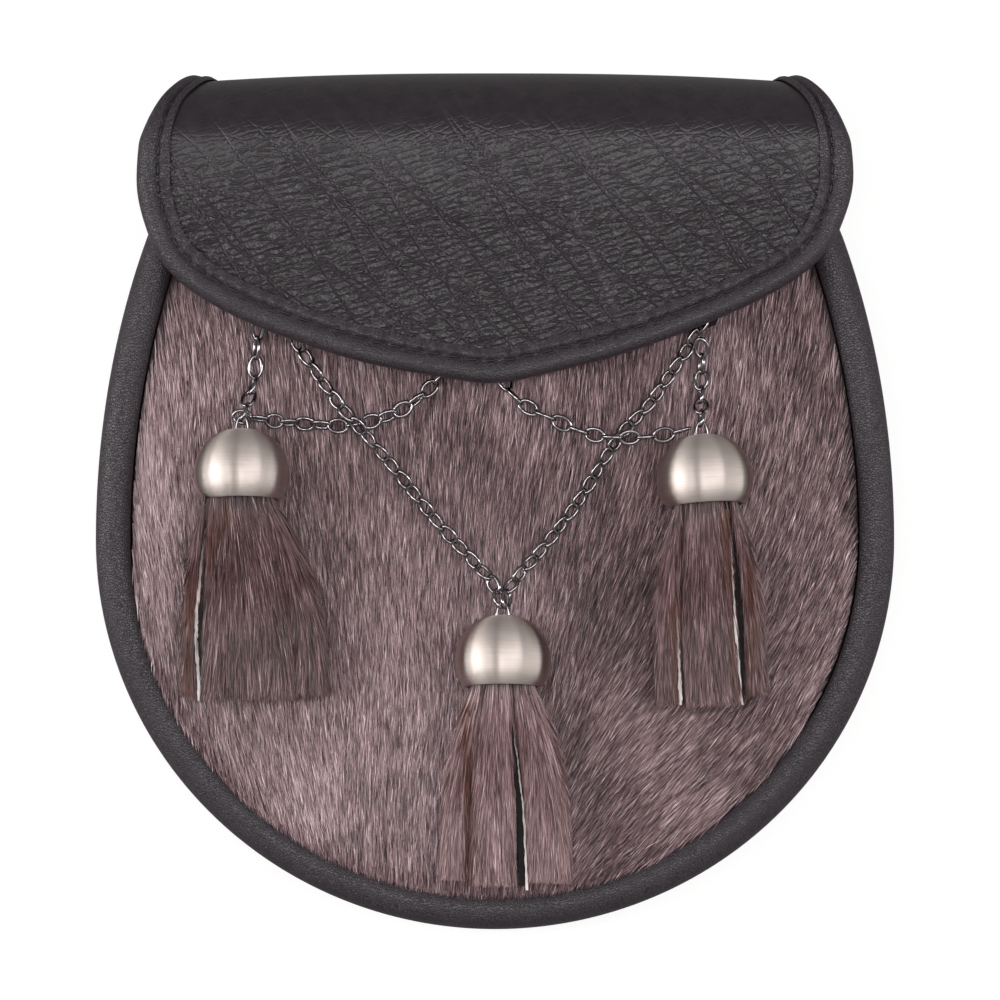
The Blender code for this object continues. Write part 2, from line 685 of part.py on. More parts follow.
def frame_along(ahead, roll):
    """Axes of a link: X along the chain, Z out of the face of a link that lies flat, turned by roll."""
    ahead = ahead / np.linalg.norm(ahead)
    side = np.cross((0, 0, 1.0), ahead)
    side /= np.linalg.norm(side)
    up = np.cross(ahead, side)
    return np.stack([ahead, math.cos(roll) * side + math.sin(roll) * up, math.cos(roll) * up - math.sin(roll) * side])


def make_link_chain(name, line):
    """Links along the line, flat and upright in turn from a flat first to an upright last, joined as one body."""
    length = np.linalg.norm(np.diff(line, axis=0), axis=1).sum()
    count = 2 * round(length / LINK_PITCH / 2)
    joints = resampled(line, count + 1)
    groups = []
    for first in (0, 1):
        points, faces = [], []
        for start, end in list(zip(joints, joints[1:]))[first::2]:
            axes = frame_along(end - start, math.pi / 2 if first else 0.0)
            link = link_points(half_length_for(np.linalg.norm(end - start))) @ axes + (start + end) / 2
            base = len(points) * len(link)
            faces += [
                tuple(base + corner for corner in face)
                for face in grid_faces(LINK_SEGMENTS, LINK_SIDES, wrap_rows=True, wrap_columns=True)
            ]
            points.append(link)
        groups.append(mesh_object(name + str(first), np.concatenate(points), faces, nickel_material()))
    return fused(name, groups, nickel_material())


def make_fine_chain(name, line):
    """The body of a fine short chain, as a slim round rod along its route."""
    length = np.linalg.norm(np.diff(line, axis=0), axis=1).sum()
    points = resampled(line, round(length / FINE_CHAIN_STEP) + 1)
    ahead = np.gradient(points, axis=0)
    turn = np.arange(FINE_CHAIN_SIDES) * 2 * math.pi / FINE_CHAIN_SIDES
    ring = np.stack([0 * turn, np.cos(turn), np.sin(turn)], 1) * FINE_CHAIN_DIAMETER / 2
    sections = [ring @ frame_along(way, 0.0) + point for point, way in zip(points, ahead)]
    return swept(name, sections, nickel_material())


def anchor_eye(across, up):
    """Where the flat end of a chain's first link lies inside an anchor's hoop."""
    x, y = on_front(across, up)
    plate_top = seat_z(x, y, ANCHOR_PLATE_DIAMETER / 2) + ANCHOR_PLATE_THICKNESS
    return np.array([x, y, plate_top + CLEARANCE + WIRE_RADIUS])


def make_anchor(name, across, up, held):
    """A small plate on the fur panel under the flap, with a low wire hoop that stands in line with the chain."""
    x, y = on_front(across, up)
    radius = ANCHOR_PLATE_DIAMETER / 2
    low = seat_z(x, y, radius)
    high = low + ANCHOR_PLATE_THICKNESS
    plate = turned(name + "_plate", ((low, 0), (low, radius), (high, radius), (high, 0)), ANCHOR_SIDES, nickel_material())
    plate.data.transform(placing((x, y, 0), (1, 0, 0), (0, 1, 0), (0, 0, 1)))
    hoop = swept(name + "_hoop", hoop_sections(ANCHOR_HOOP_HEIGHT), nickel_material())
    way = on_front(*CHAIN_ROUTES[held][0][:2]) - (x, y)
    way = np.array([*way, 0.0]) / np.linalg.norm(way)
    hoop.data.transform(placing((x, y, high - HOOP_SINK), (0, 0, 1), way, np.cross((0, 0, 1), way)))
    return fused(name, [plate, hoop], nickel_material())


def placing(origin, x_axis, y_axis, z_axis):
    """A matrix that carries a mesh's own axes to these."""
    columns = np.column_stack([x_axis, y_axis, z_axis])
    rows = [list(map(float, (*columns[row], origin[row]))) for row in range(3)]
    return Matrix(rows + [[0, 0, 0, 1]])


def bell_axes(turn):
    """Axes of a bell that lies on the front: X across, Y up out of the front, Z up to the crown, nodding down."""
    turn, nod = math.radians(turn), math.radians(BELL_NOD)
    crown = np.array([-math.sin(turn) * math.cos(nod), math.cos(turn) * math.cos(nod), -math.sin(nod)])
    across = np.array([math.cos(turn), math.sin(turn), 0.0])
    return across, np.cross(crown, across), crown


def bell_mouth(across, up, turn):
    """Middle of the bell's mouth, high enough that the bell just clears the fur panel."""
    x, y = on_front(across, up)
    _, _, crown = bell_axes(turn)
    lowest = 0.0
    for down, share in BELL_PROFILE[1:]:
        along = (1 - down) * BELL_HEIGHT
        reach = share * BELL_RADIUS * math.cos(math.radians(BELL_NOD)) - along * crown[2]
        sides = x + np.linspace(-0.5, 0.5, 5) * BELL_RADIUS
        lowest = max(lowest, float(front_z(sides, y + along * crown[1]).max()) + reach)
    return np.array([x, y, lowest + CLEARANCE])


def bell_eye(across, up, turn):
    """Middle of the far bar of the wire eye on the bell's crown."""
    _, _, crown = bell_axes(turn)
    reach = BELL_EYE_HEIGHT * math.cos(math.pi / LINK_SEGMENTS) - HOOP_SINK
    return bell_mouth(across, up, turn) + crown * (BELL_HEIGHT + reach)


def make_bell(side, across, up, turn):
    """A spun bell with a wire eye soldered into its crown."""
    outer = [((1 - down) * BELL_HEIGHT, share * BELL_RADIUS) for down, share in BELL_PROFILE]
    scale = (BELL_RADIUS - BELL_WALL) / BELL_RADIUS
    inner = [(outer[row][0] * (1 - BELL_WALL / BELL_HEIGHT), outer[row][1] * scale) for row in BELL_INNER_ROWS]
    dome = turned("dome_" + side, outer + inner[::-1], BELL_SIDES, pewter_material())
    middle = bell_mouth(across, up, turn)
    x_axis, y_axis, crown = bell_axes(turn)
    dome.data.transform(placing(middle, x_axis, y_axis, crown))
    eye = swept("eye_" + side, hoop_sections(BELL_EYE_HEIGHT), pewter_material())
    foot = middle + crown * (BELL_HEIGHT - HOOP_SINK)
    eye.data.transform(placing(foot, crown, x_axis, np.cross(crown, x_axis)))
    return fused("bell_" + side, [dome, eye], pewter_material())


def strip_section(left, right, low, high, x_axis, middle):
    """Eight-sided section of a fur strip, level with the front, between two edges and two heights."""
    lip = STRIP_BEVEL * (high - low)
    side = min(lip, STRIP_BEVEL * (right - left))
    corners = (
        (left, low + lip),
        (left + side, low),
        (right - side, low),
        (right, low + lip),
        (right, high - lip),
        (right - side, high),
        (left + side, high),
        (left, high - lip),
    )
    return np.array([(*(middle[:2] + x_axis[:2] * across), level) for across, level in corners])


def make_tassel(side, across, up, turn):
    """Cut strips of fur, held together by a head inside the bell and spreading to straight-cut feet."""
    mouth = bell_mouth(across, up, turn)
    x_axis, _, crown = bell_axes(turn)
    pieces = []
    head_radius = TASSEL_HEAD_DIAMETER / 2
    top_radius = head_radius * TASSEL_HEAD_TAPER
    profile = ((0, 0), (0, head_radius), (TASSEL_HEAD_LENGTH, top_radius), (TASSEL_HEAD_LENGTH, 0))
    head = turned("head_" + side, profile, TASSEL_HEAD_SIDES, tassel_material())
    head.data.transform(placing(mouth, *bell_axes(turn)))
    pieces.append(head)
    for number, row in enumerate(TASSEL_STRIPS[side]):
        foot_left, foot_right, neck_left, neck_right, under, top, reach = row
        sections = []
        for station in TASSEL_STATIONS:
            share = max(station, 0.0)
            spread = 1 - (1 - share) ** TASSEL_FLARE
            left = (neck_left + (foot_left - neck_left) * spread) * BELL_RADIUS
            right = (neck_right + (foot_right - neck_right) * spread) * BELL_RADIUS
            down = -crown * station * TASSEL_LENGTH * reach
            edges = np.array([left, (left + right) / 2, right])
            bed = front_z(mouth[0] + x_axis[0] * edges + down[0], mouth[1] + x_axis[1] * edges + down[1]).max()
            neck_low = mouth[2] - TASSEL_NECK_THICKNESS / 2
            settle = min(1.0, share * TASSEL_SETTLE)
            settle = settle * settle * (3 - 2 * settle)
            foot_low = float(bed) + CLEARANCE + under * TASSEL_THICKNESS
            foot_high = float(bed) + CLEARANCE + top * TASSEL_THICKNESS
            low = max(neck_low + (foot_low - neck_low) * settle, foot_low)
            high = neck_low + TASSEL_NECK_THICKNESS
            high += (foot_high - high) * settle
            sections.append(strip_section(left, right, low, high, x_axis, mouth + down))
        pieces.append(swept("strip_" + side + str(number), sections, tassel_material()))
    return fused("tassel_" + side, pieces, tassel_material())


def chain_bed(name, lying):
    """The middle line of a chain along its route, at its height over the fur panel."""
    line = []
    for across, up, lift in CHAIN_ROUTES[name]:
        x, y = on_front(across, up)
        line.append((x, y, float(front_z(x, y)) + CLEARANCE + lying / 2 + lift * (FINE_CHAIN_DIAMETER + CLEARANCE)))
    return line


def hooked(place, neighbour, beyond):
    """Where a chain's line ends, past the place that its end link holds on to."""
    way = place - np.asarray(neighbour)
    return place + way / np.linalg.norm(way) * beyond


def stopped(bar, neighbour):
    """Where a fine chain's rod ends, just short of the bar that the chain hangs on."""
    way = np.asarray(neighbour) - bar
    return bar + way / np.linalg.norm(way) * (WIRE_RADIUS + FINE_CHAIN_STOP)


def make_chains():
    anchors = {name: anchor_eye(across, up) for name, across, up, _ in ANCHORS}
    eyes = {name: bell_eye(across, up, turn) for name, across, up, turn in BELLS}
    half = CHAIN_SPREAD / 2
    for side, sign in (("left", 1), ("right", -1)):
        line = chain_bed("long_" + side, LINK_WIDTH)
        top = hooked(anchors[side], line[0], -WIRE_RADIUS)
        bar = eyes["center"] - (sign * half, 0, 0)
        line = [top] + line + [hooked(bar, line[-1], WIRE_RADIUS + CLEARANCE)]
        make_link_chain("long_chain_" + side, smooth_line(line, ROUTE_SAMPLES))
        line = chain_bed("drop_" + side, FINE_CHAIN_DIAMETER)
        line.append(stopped(eyes[side], line[-1]))
        make_fine_chain("drop_chain_" + side, smooth_line(line, ROUTE_SAMPLES))
        line = chain_bed("swag_" + side, FINE_CHAIN_DIAMETER)
        make_fine_chain("swag_chain_" + side, smooth_line(line, ROUTE_SAMPLES))


def make_sporran():
    clear_scene()
    make_back_panel()
    make_gusset()
    make_rim()
    make_fur_panel()
    make_flap()
    make_flap_binding()
    make_stud()
    for side, sign in (("left", -1), ("right", 1)):
        make_strap_loop("strap_loop_" + side, sign * LOOP_SPACING / 2)
    for name, across, up, held in ANCHORS:
        make_anchor("chain_anchor_" + name, across, up, held)
    for side, across, up, turn in BELLS:
        make_bell(side, across, up, turn)
        make_tassel(side, across, up, turn)
    make_chains()


make_sporran()
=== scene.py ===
"""The looks of a dress sporran pouch, which lies on its back and is seen straight from above.

+Z points out of the fur front and +Y to the mouth. Sizes are in metres unless a name says otherwise.
"""
import math

import bpy
import numpy as np
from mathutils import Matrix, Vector


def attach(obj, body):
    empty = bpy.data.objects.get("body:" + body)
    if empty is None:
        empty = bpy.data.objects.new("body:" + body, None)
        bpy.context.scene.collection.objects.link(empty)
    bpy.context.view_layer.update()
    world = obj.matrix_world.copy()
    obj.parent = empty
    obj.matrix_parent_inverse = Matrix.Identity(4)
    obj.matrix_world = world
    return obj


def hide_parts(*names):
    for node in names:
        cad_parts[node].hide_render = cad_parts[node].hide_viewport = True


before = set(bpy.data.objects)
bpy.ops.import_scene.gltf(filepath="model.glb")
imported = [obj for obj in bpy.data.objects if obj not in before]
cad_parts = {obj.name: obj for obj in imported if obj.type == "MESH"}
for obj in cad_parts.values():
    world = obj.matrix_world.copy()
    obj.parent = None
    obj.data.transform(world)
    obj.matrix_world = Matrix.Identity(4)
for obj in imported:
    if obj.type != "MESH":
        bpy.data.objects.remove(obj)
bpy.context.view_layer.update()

# The back panel.
# A plain sheet of black cowhide, cut to the pouch's outline. It lies flat on the table below, and rises
# behind the strap loops. The gusset and the rim are of the same pigmented, fine-grained leather.
HALF_WIDTH = 0.0900
BOTTOM_REACH = 0.08775
SIDE_REACH = 0.1390
WIDEST_Y = -0.0089
LEATHER = 0.0018
GAP = 0.0003
BACK_INSET = 0.0050
BACK_TOP_Y = 0.08005
BACK_RISE = 0.0070
BACK_RISE_Y = (-0.0470, 0.02205)
BACK_ROWS = 90
BACK_COLUMNS = 41


def linear(hex_colour):
    """An sRGB hex colour as linear light with full alpha: each channel below 0.04045 is divided by 12.92,
    and the rest are raised to the power 2.4."""
    channels = [int(hex_colour[at : at + 2], 16) / 255 for at in (1, 3, 5)]
    return (*[c / 12.92 if c <= 0.04045 else ((c + 0.055) / 1.055) ** 2.4 for c in channels], 1.0)


def wire(tree, node, inputs):
    """Sets each input to a value, or links it to an output, or to the first output of a node."""
    for socket, value in inputs.items():
        if isinstance(value, bpy.types.Node):
            value = value.outputs[0]
        if isinstance(value, bpy.types.NodeSocket):
            tree.links.new(value, node.inputs[socket])
        else:
            node.inputs[socket].default_value = value


def put(tree, kind, inputs=None, **settings):
    """A node of this kind with its settings and its inputs."""
    made = tree.nodes.new("ShaderNode" + kind)
    for name, value in settings.items():
        setattr(made, name, value)
    wire(tree, made, inputs or {})
    return made


def finish_of(name):
    """An empty material with its Principled shader and its node tree."""
    made = bpy.data.materials.new(name)
    made.use_nodes = True
    return made, made.node_tree, made.node_tree.nodes["Principled BSDF"]


def speckled(name, hex_low, hex_high, specks_per_m, roughness):
    """A dull finish whose colour wanders between two, with this many specks to the metre."""
    made, tree, shader = finish_of(name)
    place = put(tree, "TexCoord").outputs["Object"]
    specks = put(tree, "TexNoise", {"Vector": place, "Scale": specks_per_m})
    mixed = put(tree, "Mix", {0: specks, 6: linear(hex_low), 7: linear(hex_high)}, data_type="RGBA")
    wire(tree, shader, {"Base Color": mixed.outputs[2], "Roughness": roughness})
    return made


def grained_leather(name, hex_low, hex_high, grain_mm, grain_depth_mm, roughness):
    """Pigmented cowhide: pebbles of about grain_mm with creases between them, and a soft mottle in its
    colour. The creases catch less light, so the colour falls there."""
    made, tree, shader = finish_of(name)
    place = put(tree, "TexCoord").outputs["Object"]
    bend = put(tree, "TexNoise", {"Vector": place, "Scale": 0.4 / grain_mm * 1000, "Detail": 2.0})
    push = {0: bend.outputs["Color"], 1: (grain_mm / 1000,) * 3, 2: place}
    bent = put(tree, "VectorMath", push, operation="MULTIPLY_ADD")
    pebbles = put(tree, "TexVoronoi", {"Vector": bent, "Scale": 1000 / grain_mm}, feature="DISTANCE_TO_EDGE")
    rounded = put(tree, "MapRange", {"Value": pebbles, "From Max": 0.22}, interpolation_type="SMOOTHSTEP")
    mottle = put(tree, "TexNoise", {"Vector": place, "Scale": 90.0, "Detail": 5.0, "Roughness": 0.65})
    share = put(tree, "Math", {0: rounded, 1: mottle}, operation="MULTIPLY")
    colour = put(tree, "Mix", {0: share, 6: linear(hex_low), 7: linear(hex_high)}, data_type="RGBA")
    raised = put(tree, "Bump", {"Height": rounded, "Distance": grain_depth_mm / 1000, "Strength": 0.8})
    wire(tree, shader, {"Base Color": colour.outputs[2], "Normal": raised, "Roughness": roughness})
    return made


def unit(vectors):
    """Each vector at length 1."""
    return vectors / np.linalg.norm(vectors, axis=-1, keepdims=True)


def full_turn(count):
    """Angles at equal steps round a circle."""
    return np.arange(count) * 2 * math.pi / count


def eased(share):
    """A share from 0 to 1, made to start and stop gently."""
    return share**2 * (3 - 2 * share)


def quads(rows, columns, wrap_rows=False, wrap_columns=False):
    """Corner numbers of the quads between neighbours in a grid that is numbered row by row."""
    row = np.arange(rows if wrap_rows else rows - 1)[:, None]
    column = np.arange(columns if wrap_columns else columns - 1)[None]
    below, beside = (row + 1) % rows, (column + 1) % columns
    here, next_row = row * columns, below * columns
    corners = [here + column, here + beside, next_row + beside, next_row + column]
    return np.stack(np.broadcast_arrays(*corners), -1).reshape(-1, 4)


def piece(name, points, face_sets, finish, uv=None, closed=True):
    """A smooth-shaded piece from whole arrays: points (n, 3), and faces as arrays of corner numbers. A
    closed one whose signed volume is negative has its faces turned. uv is each point's place on the map."""
    points = np.asarray(points, float).reshape(-1, 3)
    if closed:
        volume = 0.0
        for faces in face_sets:
            a, b, c = points[faces[:, 0]], points[faces[:, 1]], points[faces[:, 2]]
            volume += np.einsum("ij,ij->", a, np.cross(b, c))
            if faces.shape[1] == 4:
                volume += np.einsum("ij,ij->", a, np.cross(c, points[faces[:, 3]]))
        if volume < 0:
            face_sets = [faces[:, ::-1] for faces in face_sets]
    corners = np.concatenate([faces.ravel() for faces in face_sets])
    sizes = np.concatenate([np.full(len(faces), faces.shape[1]) for faces in face_sets])
    mesh = bpy.data.meshes.new(name)
    mesh.vertices.add(len(points))
    mesh.vertices.foreach_set("co", points.ravel())
    mesh.loops.add(len(corners))
    mesh.loops.foreach_set("vertex_index", corners)
    mesh.polygons.add(len(sizes))
    mesh.polygons.foreach_set("loop_start", np.cumsum(sizes) - sizes)
    if uv is not None:
        mesh.uv_layers.new(name="OFBake").uv.foreach_set("vector", uv[corners].astype(np.float32).ravel())
    mesh.update(calc_edges=True)
    mesh.validate()
    mesh.shade_smooth()
    mesh.materials.append(finish)
    made = bpy.data.objects.new(name, mesh)
    bpy.context.scene.collection.objects.link(made)
    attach(made, "root")
    return made


def swept(name, sections, finish, closed_path=False, sharp_deg=None, uv=None):
    """A solid through closed sections (stations, sides, 3), with fans over the ends of an open path."""
    stations, sides = sections.shape[:2]
    points = sections.reshape(-1, 3)
    face_sets = [quads(stations, sides, closed_path, True)]
    if not closed_path:
        side = np.arange(sides)
        ahead = (side + 1) % sides
        first, last = len(points), len(points) + 1
        end = (stations - 1) * sides
        points = np.concatenate([points, sections[0].mean(0)[None], sections[-1].mean(0)[None]])
        face_sets.append(np.stack([np.full(sides, first), ahead, side], 1))
        face_sets.append(np.stack([np.full(sides, last), end + side, end + ahead], 1))
        if uv is not None:
            uv = np.concatenate([uv, uv[:1], uv[-1:]])
    made = piece(name, points, face_sets, finish, uv=uv)
    if sharp_deg:
        made.data.set_sharp_from_angle(angle=math.radians(sharp_deg))
    return made


def half_width_at(y, inset=0.0):
    """Half the pouch's width: half an ellipse below the widest line, and a longer one above."""
    reach = np.where(y < WIDEST_Y, BOTTOM_REACH, SIDE_REACH) - inset
    return (HALF_WIDTH - inset) * np.sqrt(np.clip(1 - ((y - WIDEST_Y) / reach) ** 2, 0, 1))


def back_z(y):
    """Height of the back's outer face, which rises along a smooth step."""
    share = np.clip((y - BACK_RISE_Y[0]) / (BACK_RISE_Y[1] - BACK_RISE_Y[0]), 0, 1)
    return BACK_RISE * eased(share)


rim_leather = grained_leather("black_fine_grained_cowhide", "#1e181d", "#42383f", 0.60, 0.11, 0.42)

turn = np.linspace(-math.pi / 2, 0, BACK_ROWS // 2)[1:]
low_y = WIDEST_Y + (BOTTOM_REACH - BACK_INSET) * np.sin(turn)
rows_y = np.concatenate([low_y, np.linspace(WIDEST_Y, BACK_TOP_Y, BACK_ROWS // 2)[1:]])
across = np.linspace(-1, 1, BACK_COLUMNS)
flat_x = half_width_at(rows_y, BACK_INSET)[:, None] * across
flat_y = np.broadcast_to(rows_y[:, None], flat_x.shape)
under = np.stack([flat_x, flat_y, back_z(flat_y)], -1)
sections = np.concatenate([under, under[:, ::-1] + (0, 0, LEATHER)], 1)
back = swept("back_leather", sections, rim_leather, sharp_deg=40)
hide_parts("back_panel")

# The gusset.
# A strip of the same leather, sewn between the back and the rim and pushed a little outwards by its own
# stiffness. It stops where the mouth begins.
MOUTH_REACH = 0.0870
MOUTH_CORNER = 0.0180
OUTLINE_SAMPLES = 720
CORNER_SAMPLES = 180
RIM_RADIUS = 0.0045
POUCH_DEPTH = 0.0375
RIM_Z = POUCH_DEPTH - RIM_RADIUS
GUSSET_STATIONS = 260
GUSSET_HEIGHTS = 14
# Shares of the gusset's height, and its inset there as shares of the back panel's.
GUSSET_SHARES = (0.0, 0.3, 0.65, 1.0)
GUSSET_INSETS = (1.1, 0.62, 0.6, 1.0)


def way_along(points):
    """How far along the line each of its points lies."""
    return np.concatenate([[0.0], np.cumsum(np.linalg.norm(np.diff(points, axis=0), axis=1))])


def along_line(points, count, closed=False):
    """Points at equal steps along a line through the given ones."""
    if closed:
        points = np.concatenate([points, points[:1]])
    way = way_along(points[:, :3])
    wanted = np.linspace(0, way[-1], count + 1 if closed else count)
    found = np.stack([np.interp(wanted, way, column) for column in points.T], 1)
    return found[:-1] if closed else found


def pouch_outline():
    """Close points round the front, anticlockwise from the bottom's middle, and the inward direction at
    each. The ellipse above the widest line is rounded off into the straight mouth by a parabola."""
    low = np.linspace(-math.pi / 2, 0, OUTLINE_SAMPLES)
    bottom = np.stack([HALF_WIDTH * np.cos(low), WIDEST_Y + BOTTOM_REACH * np.sin(low)], 1)
    mouth_y = WIDEST_Y + MOUTH_REACH
    side_y = np.linspace(WIDEST_Y, mouth_y - MOUTH_CORNER, OUTLINE_SAMPLES)[1:]
    side = np.stack([half_width_at(side_y), side_y], 1)
    corner = np.array([half_width_at(mouth_y), mouth_y])
    t = np.linspace(0, 1, CORNER_SAMPLES)[1:, None]
    bend = side[-1] * (1 - t) ** 2 + 2 * corner * t * (1 - t) + (corner - (MOUTH_CORNER, 0)) * t**2
    right = along_line(np.concatenate([bottom, side, bend, [(0, mouth_y)]]), OUTLINE_SAMPLES)
    loop = np.concatenate([right, right[-2:0:-1] * (-1, 1)])
    ahead = np.roll(loop, -1, 0) - np.roll(loop, 1, 0)
    return loop, unit(np.stack([-ahead[:, 1], ahead[:, 0]], 1))


outline, inward = pouch_outline()
path = np.roll(np.concatenate([outline, inward], 1), -(len(outline) // 2), 0)
path = path[path[:, 1] < WIDEST_Y + MOUTH_REACH - MOUTH_CORNER]
path = path[np.linspace(0, len(path) - 1, GUSSET_STATIONS).astype(int)]
share = np.linspace(0, 1, GUSSET_HEIGHTS)
inset = BACK_INSET * np.polyval(np.polyfit(GUSSET_SHARES, GUSSET_INSETS, 3), share)
low_z = back_z(path[:, 1]) + LEATHER + GAP
height = low_z[:, None] + share * (RIM_Z - RIM_RADIUS - GAP - low_z[:, None])
walls = []
for wall in (0.0, LEATHER):
    flat = path[:, None, :2] + path[:, None, 2:] * (inset + wall)[None, :, None]
    walls.append(np.concatenate([flat, height[..., None]], -1))
sections = np.concatenate([walls[0], walls[1][:, ::-1]], 1)
gusset = swept("gusset_leather", sections, rim_leather, sharp_deg=50)
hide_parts("gusset")

# The rim.
# A strip of leather rolled round a cord, all round the front. Its inner side is pressed flat against the
# fur panel.
RIM_SEEN = 0.00819
RIM_STATIONS = 540
RIM_SIDES = 28

ends = len(outline) / RIM_STATIONS * np.arange(RIM_STATIONS)
track = np.arange(len(outline) + 1)
looped = np.concatenate([outline, inward], 1)
looped = np.concatenate([looped, looped[:1]])
stations = np.stack([np.interp(ends, track, column) for column in looped.T], 1)
turn = full_turn(RIM_SIDES)
out = np.maximum(RIM_RADIUS * np.cos(turn), RIM_RADIUS - RIM_SEEN + GAP) - RIM_RADIUS
up = RIM_Z + RIM_RADIUS * np.sin(turn)
flat = stations[:, None, :2] - stations[:, None, 2:] * out[None, :, None]
sections = np.concatenate([flat, np.broadcast_to(up[None, :, None], (*flat.shape[:2], 1))], -1)
rim = swept("rolled_rim", sections, rim_leather, closed_path=True)
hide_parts("rim_binding")

# The fur front.
# A panel of short seal-like fur, dyed grey-brown and combed down. Its hairs are about 8 mm long, rise
# little from the hide and gather into small locks, so that paler tips lie over darker roots.
PANEL_THICKNESS = 0.0030
PANEL_CROWN = 0.0070
PANEL_EDGE_Z = POUCH_DEPTH - 0.0030
HIDE_DROP = 0.0013
HIDE_RINGS = 60
HIDE_STATIONS = 180
HAIR_COUNT = 46000
HAIR_PIECES = 3
HAIR_STEPS = 3
HAIR_LENGTH = 0.0075
HAIR_WIDTH = 0.00027
HAIR_LENGTHS = (0.65, 1.15)
HAIR_STRAY = 0.07
HAIR_ROLL = 0.9
HAIR_RISES = (0.75, 1.2)
OVER_RIM = 0.0016
COMB_TOP = 0.0226
COMB_FALL = 0.1013
ROOT_REACH = 0.998
# Locks: their width, how far and over what length their borders sway, and how much their hairs draw in.
LOCK_WIDTH = 0.0016
LOCK_SWAY = 0.35
LOCK_WAVE = 0.006
LOCK_PULL = 0.22
LOCK_SHIFT = 0.0003
# Numbers that make a fixed random pair for each lock, from the fraction of a sine times a large number.
LOCK_HASH = np.array([[127.1, 269.5], [311.7, 183.3]])
HASH_SIZE = 43758.5453
# The coat's tone, and how much it varies from hair to hair and from lock to lock.
COAT_TONE = 0.42
HAIR_TONE = 0.27
LOCK_TONE = 0.06
# Paler and darker areas of the fur: middle, half width and half height in metres, and how much paler.
# Partly the fur's own mottle, partly painted light: paler on the left and darker on the right.
MOTTLES_AND_PAINTED_LIGHT = (
    (-0.083, 0.0, 0.016, 0.055, 0.17), (-0.02, -0.048, 0.024, 0.026, 0.1),
    (-0.05, -0.066, 0.02, 0.014, 0.1), (-0.035, 0.018, 0.016, 0.022, -0.06),
    (0.004, 0.016, 0.022, 0.016, -0.08), (0.03, -0.018, 0.018, 0.03, -0.2),
    (0.04, -0.062, 0.022, 0.016, -0.08), (-0.078, 0.02, 0.016, 0.034, 0.1),
    (0.07, 0.004, 0.018, 0.04, -0.08),
)

panel_edge = outline + inward * RIM_SEEN
edge_turn = np.arctan2(panel_edge[:, 1] - WIDEST_Y, panel_edge[:, 0])
edge_order = np.argsort(edge_turn)
edge_reach = np.hypot(panel_edge[:, 0], panel_edge[:, 1] - WIDEST_Y)[edge_order]
outer_reach = np.hypot(outline[:, 0], outline[:, 1] - WIDEST_Y)
outer_turn = np.arctan2(outline[:, 1] - WIDEST_Y, outline[:, 0])
outer_order = np.argsort(outer_turn)


def panel_reach(x, y):
    """Way from the front's middle to the fur panel's edge, in the direction of each place."""
    return np.interp(np.arctan2(y - WIDEST_Y, x), edge_turn[edge_order], edge_reach, period=2 * math.pi)


def front_z(x, y):
    """Height of the fur's face: highest in the middle, falling with the square of the way to the edge."""
    share = np.minimum(np.hypot(x, y - WIDEST_Y) / panel_reach(x, y), 1.0)
    return PANEL_EDGE_Z + PANEL_CROWN * (1 - share**2)


def rim_z(x, y):
    """Height of the rolled rim's surface at each place, or a low number inside it."""
    turn = np.arctan2(y - WIDEST_Y, x)
    outer = np.interp(turn, outer_turn[outer_order], outer_reach[outer_order], period=2 * math.pi)
    off_axis = RIM_RADIUS - (outer - np.hypot(x, y - WIDEST_Y))
    high = RIM_Z + np.sqrt(np.clip(RIM_RADIUS**2 - off_axis**2, 0, None))
    return np.where(np.abs(off_axis) < RIM_RADIUS, high, 0.0)


def ripple(x, y, wave, seed):
    """A smooth random field from about -1 to 1: the mean of twelve sine waves of about this length."""
    random = np.random.default_rng(seed)
    way, phase = random.uniform(0, 2 * math.pi, (2, 12))
    wave_number = 2 * math.pi / (wave * random.uniform(0.7, 1.7, 12))
    waves = np.sin((x[..., None] * np.cos(way) + y[..., None] * np.sin(way)) * wave_number + phase)
    return 2.4 * waves.mean(-1)


def comb(x, y):
    """Which way the hairs lie, as a unit direction: down, and in the lower part turned in along the
    outline. The right side turns in from higher up than the left."""
    across, down = x / HALF_WIDTH, np.clip((COMB_TOP - y) / COMB_FALL, 0, 1)
    right = -4 - 8 * across - 40 * down * np.clip(across / 0.35, 0, 1)
    left = -4 + 10 * np.clip(-across / 0.5, 0, 1)
    left = left + 32 * np.clip((down - 0.6) / 0.4, 0, 1) * np.clip((-across - 0.4) / 0.45, 0, 1)
    lean = np.radians(np.where(across > 0, right, left))
    lean = lean + 0.06 * ripple(x, y, 0.045, 3) + 0.05 * ripple(x, y, 0.014, 4)
    return np.stack([np.sin(lean), -np.cos(lean)], -1)


